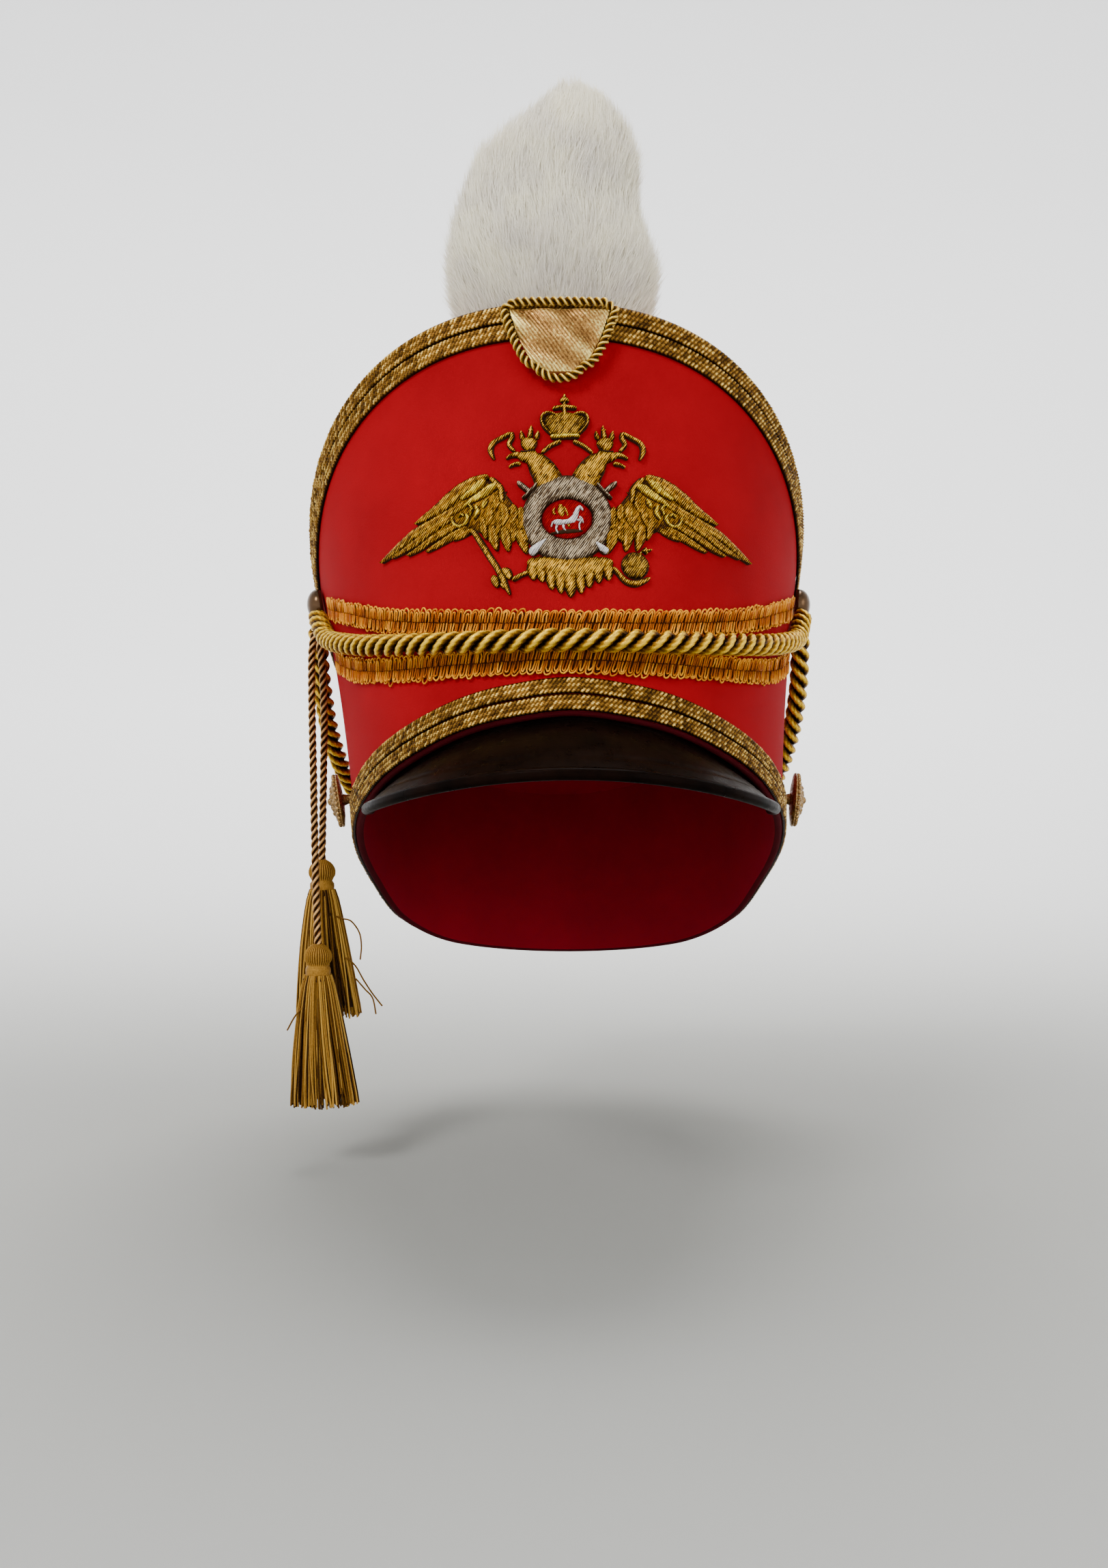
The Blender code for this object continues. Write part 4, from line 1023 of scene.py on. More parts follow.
def make_braid(name, level, node):
    """Woven metallic braid round the wall: three ridges of slanted threads."""
    coarse = np.linspace(0, 360, 721)
    reach = travel(wall_points(coarse, level(coarse, 0.5)))
    ribs = int(reach[-1] / BRAID_PITCH)
    columns = ribs * BRAID_SAMPLES
    angles = np.interp(np.linspace(0, reach[-1], columns, endpoint=False), reach, coarse)
    across = np.linspace(0, 1, BRAID_ROWS)
    ridge = np.abs(np.sin(np.pi * BRAID_RIDGES * across)) ** 0.6
    rng = np.random.default_rng(BRAID_SEED)
    uneven = 1 + BRAID_UNEVEN * rng.standard_normal((columns, 1))
    place_along = np.arange(columns)[:, None] / BRAID_SAMPLES
    slanted = place_along - BRAID_SLANT * across
    rib = np.cos(2 * np.pi * slanted)
    out = GAP + BRAID_THICKNESS * (BRAID_FLOOR + BRAID_RISE * ridge + BRAID_RIB * rib * ridge * uneven)
    # Painted glints: a random strength for each rib
    gleams = rng.uniform(*BRAID_GLEAMS, (ribs, BRAID_RIDGES))
    lane = np.minimum((across * BRAID_RIDGES).astype(int), BRAID_RIDGES - 1)
    gleam = gleams[np.round(slanted).astype(int) % ribs, lane[None, :]]
    # Painted shade in the grooves between ridges and ribs, painted highlight on their rises
    shade = 0.05 + 0.85 * ridge * (0.5 + 0.5 * rib) * gleam
    shade = np.concatenate((shade, np.zeros((columns, 2))), axis=1)
    front = wall_points(angles[:, None], level(angles[:, None], across), out)
    back = wall_points(angles[:, None], level(angles[:, None], np.array([1.0, 0.0])), GAP / 2)
    soup = Soup()
    soup.grid(np.concatenate((front, back), axis=1), ring=True, shade=shade)
    braid = soup.build(name, (BRAID,), "antique_braid")
    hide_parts(node)


def make_braids():
    """Two rows round the rim and two along the bottom edge."""
    for row, name in enumerate(("upper", "lower")):
        down = row * (TOP_BRAID_WIDTH + GAP)

        def top_level_of(angles, across, down=down):
            return 1 - (down + TOP_BRAID_WIDTH * (1 - across)) / wall_length(angles)

        make_braid("rim_braid_" + name, top_level_of, "top_braid_" + name)
    for row, name in enumerate(("lower", "upper")):
        up = EDGE_BRAID_MARGIN + row * (EDGE_BRAID_WIDTH + GAP)

        def edge_level_of(angles, across, up=up):
            return (up + EDGE_BRAID_WIDTH * across) / wall_length(angles)

        make_braid("hem_braid_" + name, edge_level_of, "edge_braid_" + name)


def trim_level(angles, column):
    """Level of the rope or a gimp at angles."""
    return RIM_HEIGHT * curve_value(TRIM_HEIGHTS, column, np.abs(angles))


def make_gimps():
    """Looped gimp: nested loops of thread on both edges of a ribbon."""
    rng = np.random.default_rng(GIMP_SEED)
    for column, name in ((2, "upper"), (3, "lower")):
        coarse = np.linspace(-GIMP_END_ANGLE, GIMP_END_ANGLE, 400)
        level = trim_level(coarse, column)
        reach = travel(wall_points(coarse, height_at_level(coarse, level)))
        length = reach[-1]
        loops = int(length / GIMP_PITCH)

        def on_gimp(along, across, out, column=column, reach=reach, coarse=coarse):
            angles = np.interp(along, reach, coarse)
            return wall_points(angles, height_at_level(angles, trim_level(angles, column) + across), out)

        soup = Soup()
        along = np.linspace(0, length, 300)[:, None]
        half = GIMP_WIDTH / 2 - GIMP_LOOSE
        across = np.array([-half, -half / 2, 0, half / 2, half, half, -half])
        out = np.array([GAP, *RIBBON_RISE, GAP, GAP / 2, GAP / 2]) + GAP / 2
        soup.grid(on_gimp(along, across, out), slot=1)
        turn = np.linspace(0, math.pi, GIMP_BENDS)
        for index in range(loops):
            middle = (index + 0.5) * length / loops
            for side in (1, -1):
                for nest in range(GIMP_NESTS):
                    wide = GIMP_PITCH * (0.52 - 0.29 * nest)
                    tall = GIMP_WIDTH / 2 * (0.97 - 0.18 * nest) * (1 + 0.07 * rng.standard_normal())
                    arch = np.concatenate(([0.0], np.clip(np.sin(turn), 0, 1) ** 0.45, [0.0]))
                    place_across = side * tall * (0.06 + 0.94 * arch)
                    place_along = middle - wide * np.concatenate(([1.0], np.cos(turn), [-1.0]))
                    place_along = place_along + place_across * GIMP_SLANT
                    place_along += GIMP_STRAY * rng.standard_normal(len(place_along))
                    place_along = np.clip(place_along, GIMP_MARGIN, length - GIMP_MARGIN)
                    lift = GAP + GIMP_LIFT + GIMP_NEST_LIFT * nest + GIMP_UNEVEN * rng.standard_normal()
                    line = on_gimp(place_along, place_across, lift + GIMP_ARCH * arch)
                    # Painted highlight on the raised tops of the loops, over a random tone for each thread
                    gleam = rng.uniform(0.30, 0.70) + 0.35 * arch[:, None] ** 3
                    soup.grid(tube_rows(line, THREAD_SIDES, GIMP_THREAD), shade=gleam)
        gimp = soup.build("gimp_loops_" + name, (GIMP, GIMP_SHADE_GROUND), "orange_gimp")
        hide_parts("gimp_" + name)


# Ropes


def rope_rows(path, sides, ups, diameter, lay, strands, around_count, hand=1, yarns=7, close=0.0):
    """Rows and shades of each strand of a twisted rope round a path, with painted shade in the grooves;
    its ends close over a length.
    """
    along = travel(path)
    length = along[-1]
    turns = length / lay
    radius = diameter / 2
    strand = radius * (0.49 if strands == 3 else 0.5)
    if close:
        taper = np.clip(np.minimum(along, length - along) / close, 0.0, 1.0)
        taper = np.sqrt(1 - (1 - taper) ** 2) * 0.999 + 0.001
    else:
        taper = np.ones(len(path))
    theta = circle(around_count)
    for index in range(strands):
        phase = hand * 2 * math.pi * (turns * along / length) + 2 * math.pi * index / strands
        middle = path + ((radius - strand) * taper)[:, None] * (
            sides * np.cos(phase)[:, None] + ups * np.sin(phase)[:, None])
        groove = 1 + 0.045 * np.cos(yarns * (theta[None, :] - phase[:, None] * 2))
        spread = strand * taper[:, None] * groove
        ring = (sides[:, None] * np.cos(theta)[:, None] + ups[:, None] * np.sin(theta)[:, None])
        rows = middle[:, None] + ring * spread[..., None]
        # Painted shade in the grooves between the strands, deeper towards the rope's middle, and painted
        # highlights on the yarns' rises
        reach = np.linalg.norm(rows - path[:, None], axis=-1) / (radius * taper[:, None])
        threads = 0.07 * np.cos(yarns * (theta[None, :] - phase[:, None] * 2))
        shade = np.clip((reach - 0.45) / 0.55, 0, 1) ** 2.2 * 0.95 + threads
        yield rows, shade


def make_rope(name, node, path, first, kind, material):
    """Three-ply rope or cord of a kind along a path, as one mesh."""
    diameter, lay, around_count, hand, close = kind
    sides, ups = carried_frames(path, first)
    soup = Soup()
    for rows, shade in rope_rows(path, sides, ups, diameter, lay, 3, around_count, hand, close=close):
        soup.grid(rows, shade=shade)
    rope = soup.build(name, (material,), "gold_rope")
    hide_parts(node)
    return rope


def make_ropes():
    """Rope across the front, the swag behind and the tassel cords."""
    angles = np.linspace(-ROPE_END_ANGLE, ROPE_END_ANGLE, 160)
    share = (np.abs(angles) - ROPE_ON_GIMP_ANGLE) / (ROPE_ON_WALL_ANGLE - ROPE_ON_GIMP_ANGLE)
    out = GAP + ROPE_DIAMETER / 2 + (GIMP_THICKNESS + GAP) * (1 - np.clip(share, 0, 1))
    heights = height_at_level(angles, trim_level(angles, 1))
    path = resample(wall_points(angles, heights, out), ROPE_STEP)
    make_rope("front_rope", "front_cord", path, (0, 0, 1), THICK_ROPE, ROPE)

    path = smooth_route(BACK_CORD_ROUTE, ROPE_STEP)
    swag = make_rope("back_rope", "back_cord", path, (1, 0, 0), THICK_ROPE, ROPE)

    for name, node, route, tassel in (
        ("long_cord", "tassel_cord_long", LONG_CORD_ROUTE, "tassel_front"),
        ("short_cord", "tassel_cord_short", SHORT_CORD_ROUTE, "tassel_back"),
    ):
        path = smooth_route(route, TASSEL_CORD_STEP)
        top = path[-1]
        inner = np.arange(1, 1 + round(TASSEL_CORD_INSIDE / TASSEL_CORD_STEP))[:, None]
        path = np.vstack((path, top - inner * np.array((0.0, 0.0, TASSEL_CORD_STEP))))
        cord = make_rope(name, node, path, (1, 0, 0), THIN_CORD, CORD)
        threads = make_tassel(tassel + "_threads", top, tassel)


def make_tassel(name, top, node):
    """Tassel: head of threads over a core, tight band, skirt of hanging threads, loose curls."""
    rng = np.random.default_rng(sum(map(ord, name)))
    soup = Soup()
    down = np.linspace(0, 1, TASSEL_ROWS)
    down = down[down <= TASSEL_CORE_END]
    wide = curve_value(TASSEL_FORM, 1, down)

    def at(share, radius, turn, extra=0.0):
        lean = TASSEL_LEAN * share**2
        depth = TASSEL_HALF_WIDTH + (TASSEL_HALF_DEPTH - TASSEL_HALF_WIDTH) * radius
        return np.stack((top[0] + lean + (TASSEL_HALF_WIDTH * radius + extra) * np.sin(turn),
                         top[1] - (depth * radius + extra) * np.cos(turn),
                         top[2] - GAP - TASSEL_LENGTH * share + 0 * turn), -1)

    turn = circle(TASSEL_SIDES)
    rows, shades = [], []
    for share, radius in zip(down, wide):
        # Head: painted shade in the folds' hollows and painted highlight on their ridges; the core under
        # the skirt gets painted shade
        if share < TASSEL_BAND[0]:
            fold = np.cos(HEAD_FOLDS * turn)
            ridge, shade = FOLD_DEPTH * fold, 0.50 + 0.28 * fold
        elif share <= TASSEL_BAND[1]:
            ridge, shade = 0.012 * math.cos(share * 900), 0.62 + 0 * turn
        else:
            ridge, shade = FOLD_DEPTH * np.cos(SKIRT_FOLDS * turn), 0.10 + 0 * turn
        cut = TASSEL_CORE_CUT if share > TASSEL_BAND[1] + 0.03 else 1.0
        rows.append(at(share, radius * cut * (1 + ridge), turn))
        shades.append(shade)
    soup.grid(rows[::-1], shade=shades[::-1])

    for index in range(TASSEL_THREADS):
        angle = 2 * math.pi * (index + rng.uniform(-0.4, 0.4)) / TASSEL_THREADS * 3
        layer = rng.uniform(0.78, 1.0) if index % 3 else rng.uniform(0.4, 0.85)
        end = rng.uniform(0.965, 1.0) if index % 7 else rng.uniform(0.9, 1.0)
        share = np.linspace(TASSEL_BAND[1] - 0.005, end, 13)
        radius = curve_value(TASSEL_FORM, 1, share) * layer
        free = (share - share[0]) / (1 - share[0])
        sway = rng.uniform(-0.16, 0.16) * free**1.5 + 0.03 * np.sin(
            free * rng.uniform(4, 9) + rng.uniform(0, 6)) * free
        lift = 0.0004 * (1 - free) + rng.uniform(-0.0004, 0.0005) * free
        line = at(share, radius, angle + sway, lift)
        # Threads deeper in the skirt get more painted shade, over a random tone
        soup.grid(tube_rows(line, THREAD_SIDES, TASSEL_THREAD, (1, 0, 0)),
                  shade=rng.uniform(0.05, 1.0) * (0.4 + 0.6 * layer))
    for route in TASSEL_LOOSE[node]:
        line = smooth_route([(x, top[1] + TASSEL_LOOSE_DEPTH, z) for x, z in route], TASSEL_LOOSE_STEP)
        soup.grid(tube_rows(line, THREAD_SIDES, TASSEL_THREAD, (0, 1, 0)), shade=0.45)
    tassel = soup.build(name, (TASSEL,), "gold_tassel")
    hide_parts(node)
    return tassel


# Bosses and buttons


def on_wall_frame(angle, level, out):
    """Middle and three directions of a seat on the wall."""
    angle = np.array(float(angle))
    height = height_at_level(angle, level)
    middle = wall_points(angle, height, out)
    normal = outward(angle, height)
    up = unit(np.array((0.0, 0.0, 1.0)) - normal * normal[2])
    return middle, np.cross(up, normal), up, normal


def turned_rows(place_on, profile, sides, relief=None):
    """Rows of a turned form on a seat: profile of radius and height."""
    middle, right, up, normal = place_on
    turn = circle(sides)
    rows = []
    for radius, rise in profile:
        raised = rise + (relief(radius, turn) if relief else 0.0)
        rows.append(middle + radius * (np.sin(turn)[:, None] * right + np.cos(turn)[:, None] * up)
                    + (raised + 0 * turn)[:, None] * normal)
    return rows


def ball_rows(middle, radius, sides=10):
    """Rows of a small ball."""
    turn = circle(sides)
    rows = []
    for tilt in np.linspace(-math.pi / 2 + 0.12, math.pi / 2 - 0.12, sides // 2 + 1):
        ring = np.stack((np.cos(turn) * math.cos(tilt), np.sin(turn) * math.cos(tilt),
                         0 * turn + math.sin(tilt)), -1)
        rows.append(middle + ring * radius)
    return rows


def make_bosses():
    """Dark domed bosses with a rim, and gilt filigree buttons."""
    for side, name in ((-1, "left"), (1, "right")):
        seat = on_wall_frame(side * BOSS_ANGLE, BOSS_Z, SEAT)
        radius = BOSS_DIAMETER / 2
        dome = [(radius * math.sin(t), BOSS_HEIGHT * (0.22 + 0.78 * math.cos(t)))
                for t in np.linspace(0.02, math.pi / 2, 20)]
        foot = [(radius * 1.0, BOSS_HEIGHT * 0.16), (radius * 0.93, 0.0), (radius * 0.05, 0.0)]
        soup = Soup()
        soup.grid(turned_rows(seat, dome + foot, BOSS_SIDES))
        boss = soup.build("domed_boss_" + name, (BRONZE,), "bronze", sharp=50)
        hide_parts("boss_" + name)

        seat = on_wall_frame(side * BUTTON_ANGLE, BUTTON_Z, SHANK_SEAT)
        radius = BUTTON_DIAMETER / 2

        def relief(place_out, turn, radius=radius):
            share = place_out / radius
            petals = 0.00035 * np.cos(12 * turn + 9 * share) * math.sin(math.pi * min(share / 0.8, 1))
            return petals + 0.00025 * math.cos(share * 26) * (share < 0.8)

        dome = [(radius * s, BUTTON_HEIGHT * (0.58 + 0.38 * (1 - s**2.4)))
                for s in np.linspace(0.02, 0.98, 40)]
        under = [(radius, BUTTON_HEIGHT * 0.56), (radius * 0.96, BUTTON_HEIGHT * 0.49),
                 (radius * 0.6, BUTTON_HEIGHT * 0.41), (radius * 0.22, BUTTON_HEIGHT * 0.37),
                 (radius * 0.18, BUTTON_HEIGHT * 0.2), (radius * 0.18, 0.0), (radius * 0.02, 0.0)]
        soup = Soup()
        soup.grid(turned_rows(seat, dome, BUTTON_SIDES, relief) + turned_rows(seat, under, BUTTON_SIDES))
        middle, right, up, normal = seat
        for turn in circle(BUTTON_BEADS):
            spot = (middle + radius * 0.90 * (math.sin(turn) * right + math.cos(turn) * up)
                    + normal * BUTTON_HEIGHT * 0.68)
            soup.grid(ball_rows(spot, radius * 0.085))
        soup.grid(ball_rows(middle + normal * BUTTON_HEIGHT * 0.93, radius * 0.16, 14))
        button = soup.build("filigree_button_" + name, (BUTTON,), "bright_gold", sharp=60)
        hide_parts("button_" + name)


# Visor


def binding_points(shares):
    """Points of the visor's rolled edge, from -1 at one corner to 1 at the other."""
    turn = np.asarray(shares) * math.pi / 2
    across = np.sin(turn)
    return np.stack((VISOR_HALF_WIDTH * across,
                     VISOR_CORNER_Y + (VISOR_FRONT_Y - VISOR_CORNER_Y) * np.cos(turn),
                     VISOR_FRONT_Z + (VISOR_CORNER_Z - VISOR_FRONT_Z) * across**2), -1)


def make_visor():
    """Patent leather peak with a pressed line, and its rolled edge with a seam."""
    shares = np.linspace(-1, 1, VISOR_COLUMNS)
    angles = shares * VISOR_ROOT_ANGLE
    inside = -(WALL_THICKNESS + GAP)
    length = wall_length(angles)
    root = wall_points(angles, -VISOR_ROOT_DROP / length, inside)
    edge = binding_points(shares)
    line = unit(root - edge)
    edge = edge + line * (BINDING_DIAMETER / 2 + GAP)
    width = np.linalg.norm(edge - root, axis=-1)
    rows = [wall_points(angles, VISOR_FLANGE * part / length, inside) for part in (1.0, 0.6, 0.25)]
    for part in np.linspace(0, 1, VISOR_ROWS):
        camber = VISOR_CAMBER * width * 4 * part * (1 - part)
        to_edge = (1 - part) * width
        groove = -VISOR_LINE_DEPTH * np.exp(-(((to_edge - VISOR_LINE) / VISOR_LINE_WIDTH) ** 2))
        row = root + (edge - root) * part
        row[:, 2] += camber + groove
        rows.append(row)
    rows = np.array(rows)
    along, across = np.gradient(rows, axis=1), np.gradient(rows, axis=0)
    normal = unit(np.cross(along, across))
    normal[normal[..., 2] > 0.6] *= -1
    under = rows + normal * VISOR_THICKNESS
    soup = Soup()
    soup.grid(np.concatenate((rows, under[::-1])).transpose(1, 0, 2))
    peak = soup.build("leather_peak", (PATENT,), "patent_leather", sharp=50)
    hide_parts("visor")

    path = resample(binding_points(np.linspace(-1, 1, 200)) - (0, 0, VISOR_THICKNESS / 2), BINDING_STEP)
    sides, ups = carried_frames(path, (0, 0, 1))
    turn = circle(BINDING_SIDES)
    seam = 1 - 0.10 * np.exp(-(((turn - math.pi * 0.5) / 0.16) ** 2))
    ring = sides[:, None] * (np.cos(turn) * seam)[:, None] + ups[:, None] * (np.sin(turn) * seam)[:, None]
    soup = Soup()
    soup.grid(path[:, None] + ring * BINDING_DIAMETER / 2)
    roll = soup.build("rolled_edge", (PATENT,), "patent_leather", sharp=60)
    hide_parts("visor_binding")


# Cockade


def cockade_points(across, along, out):
    """Points on the cockade: distances across and above its tip."""
    height = 1 - (COCKADE_DROP + COCKADE_LENGTH) / wall_length(np.array(0.0))
    foot = wall_points(np.array(0.0), height)
    up = unit(rim_points(np.array(0.0)) - edge_points(np.array(0.0)))
    level = foot[2] + np.asarray(along) * up[2]
    return front_points(foot[0] + across, level, out)


def make_cockade():
    """Padded shield of gold cloth with a ribbed weave and creases, and its twisted edge."""
    out = 2 * GAP + BRAID_THICKNESS
    half = COCKADE_WIDTH / 2
    rng = np.random.default_rng(COCKADE_SEED)
    up = np.linspace(0, 1, COCKADE_ROWS)
    wide = curve_value(COCKADE_OUTLINE, 1, up) * half + COCKADE_TUCK
    shares = np.linspace(-1, 1, COCKADE_COLUMNS)
    across = wide[:, None] * shares
    along = np.broadcast_to(up[:, None] * COCKADE_LENGTH, across.shape)
    pad = (1 - shares**4)[None, :] * (1 - (2 * up - 1) ** 6)[:, None]
    pad = COCKADE_THICKNESS * (0.45 + 0.55 * pad)
    weave = np.cos(2 * np.pi * (across * 0.82 + along * 0.57) / WEAVE_PITCH)
    crease = sum(CREASE_HEIGHT * np.cos((across * math.cos(a) + along * math.sin(a)) * k + p)
                 for a, k, p in zip(rng.uniform(0.3, 1.3, 4), rng.uniform(500, 1100, 4),
                                    rng.uniform(0, 6, 4)))
    front = cockade_points(across, along, out + pad + WEAVE_HEIGHT * weave + crease)
    back = cockade_points(across, along, out - GAP / 2)[:, ::-COCKADE_BACK_STEP]
    soup = Soup()
    # Shade: lighter towards the edges, painted highlight on the weave's ribs and the creases' rises,
    # painted shade in their hollows
    from_edge = np.minimum(1 - np.abs(shares)[None, :], up[:, None] * 1.2)
    shade = 0.40 + 0.30 * np.exp(-from_edge / 0.18) + 0.16 * weave + crease / 0.0005 * 0.12
    soup.grid(np.concatenate((front, back), axis=1),
              shade=np.concatenate((shade, 0 * shade[:, ::COCKADE_BACK_STEP]), axis=1))
    shield = soup.build("lame_shield", (LAME,), "gold_lame", sharp=70)
    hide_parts("cockade")

    radius = COCKADE_TRIM_DIAMETER / 2
    grow = radius + COCKADE_TRIM_CLEARANCE
    right = [(w + grow - COCKADE_TUCK, u * COCKADE_LENGTH) for u, w in zip(up[12:], wide[12:])]
    foot = [(math.sin(t) * (half * 0.30 + grow), COCKADE_LENGTH * 0.10 - math.cos(t) * (
        COCKADE_LENGTH * 0.10 + grow)) for t in np.linspace(0, math.pi / 2 * 0.9, 8)]
    top = [(half * s, COCKADE_LENGTH + grow) for s in np.linspace(0.96, 0, 12)]
    side = foot + right + top
    loop = np.array(side + [(-x, z) for x, z in side[::-1]][1:-1])
    flat = np.pad(np.concatenate((loop, loop[:1])), ((0, 0), (0, 1)))
    flat = resample(flat, COCKADE_TRIM_STEP)
    path = cockade_points(flat[:, 0], flat[:, 1], out + radius)
    angles, heights = front_place(path[:, 0], path[:, 2])
    ups = outward(angles, heights)
    forward = unit(np.roll(path[:-1], -1, axis=0) - np.roll(path[:-1], 1, axis=0))
    forward = np.concatenate((forward, forward[:1]))
    sides = unit(np.cross(ups, forward))
    ups = np.cross(forward, sides)
    length = travel(path)[-1]
    lay = length / round(length / COCKADE_TRIM_LAY)
    soup = Soup()
    for rows, shade in rope_rows(path, sides, ups, COCKADE_TRIM_DIAMETER, lay, 2, 14, yarns=5):
        soup.grid(rows[:-1], ring=True, shade=shade[:-1])
    edge = soup.build("cockade_cord", (GILT,), "bright_gold")
    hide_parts("cockade_trim")


# Plume


def plume_points(turn, up, shrink=1.0):
    """Points of the plume's surface for angles in radians and shares of its height."""
    left, right = curve_value(PLUME_SECTIONS, 1, up), curve_value(PLUME_SECTIONS, 2, up)
    wide = (right - left) / 2 * PLUME_HALF_WIDTH * shrink
    deep = wide * PLUME_HALF_DEPTH / PLUME_HALF_WIDTH
    shift = (left + right) / 2 * PLUME_HALF_WIDTH
    middle = rim_points(np.array(0.0))
    across = middle[0] + shift + wide * np.sin(turn)
    along = middle[1] + PLUME_SETBACK - deep * np.cos(turn)
    foot = RIM_HEIGHT - TOP_INSET - TOP_DISH - RIM_SLOPE * (middle[1] + PLUME_SETBACK - RIM_SETBACK)
    slant = -RIM_SLOPE * (along - middle[1] - PLUME_SETBACK) * (1 - up) ** 2
    return np.stack((across, along, foot + PLUME_CLEARANCE + slant + PLUME_HEIGHT * up), -1)


def make_plume():
    """Fur plume: a soft core with fine hairs that lie up and out."""
    core = Soup()
    turn = circle(PLUME_SIDES)
    up = np.linspace(0.004, PLUME_TIP, PLUME_ROWS)
    rows = []
    for share in up:
        tuft = PLUME_CORE + 0.018 * np.sin(9 * turn + 14 * share) * np.sin(5 * turn - 21 * share + 1)
        rows.append(plume_points(turn, share, tuft))
    core.grid(rows)
    head = core.build("plume_core", (FUR,), "white_fur")
    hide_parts("plume")

    rng = np.random.default_rng(PLUME_SEED)
    count = PLUME_HAIRS
    up = rng.uniform(0, 1, count * 2)
    wide = curve_value(PLUME_SECTIONS, 2, up) - curve_value(PLUME_SECTIONS, 1, up)
    up = up[rng.uniform(0, 2.1, count * 2) < wide + 0.25][:count]
    count = len(up)
    turn = rng.uniform(0, 2 * math.pi, count)
    root = plume_points(turn, up * PLUME_TIP, PLUME_ROOT)
    step = 0.01
    above, below = (plume_points(turn, np.clip(up + move, 0, 1)) for move in (step, -step))
    flow = unit(above - below)
    round_it = unit(plume_points(turn + step, up) - plume_points(turn - step, up))
    normal = unit(np.cross(round_it, flow))
    lean = rng.uniform(*PLUME_LEAN, count)[:, None]
    clump = (0.20 * np.sin(7 * turn + 9 * up) + 0.18 * np.sin(13 * turn - 17 * up + 2))[:, None]
    heading = unit(flow + normal * lean + round_it * (clump + 0.45 * rng.standard_normal((count, 1))))
    bend = flow * 1.2 + normal * 0.1 + (0, 0, 0.5)
    bend = unit(bend + 0.3 * rng.standard_normal((count, 3)))
    long = rng.uniform(*PLUME_HAIR_LENGTH, count)[:, None]
    long = long * (1 - 0.45 * np.clip((up[:, None] - 0.8) / 0.2, 0, 1))
    across = unit(np.cross(heading, normal) + 0.5 * rng.standard_normal((count, 3)))
    across = across * PLUME_HAIR_WIDTH / 2
    rings = []
    for share, width in ((0.0, 1.0), (0.55, 0.8)):
        point = root + long * (heading * share + bend * 0.5 * share**2 - heading * 0.25 * share**2)
        rings.extend((point - across * width, point + across * width))
    tip = root + long * (heading * 0.75 + bend * 0.5)
    points = np.stack(rings + [tip], axis=1)
    first = (np.arange(count) * 5)[:, None]
    quads = first + (0, 1, 3, 2)
    tips = first + (2, 3, 4)
    fur = Soup()
    fur.add(points, quads)
    fur.add(np.zeros((0, 3)), tips - fur.count)
    fur.build("plume_hairs", (HAIR,), "white_fur")


# Eagle


def eagle_points(across, up, out):
    """Points over the front of the wall for places drawn in shares of the half span."""
    return front_points(EAGLE_X + EAGLE_HALF_SPAN * across, EAGLE_Z + EAGLE_HALF_SPAN * up, out)


# Narrowing, whether strips are outlined, and how much higher each one lies than the one before
PLAIN_LAYER = (1.0, True, 0.0)


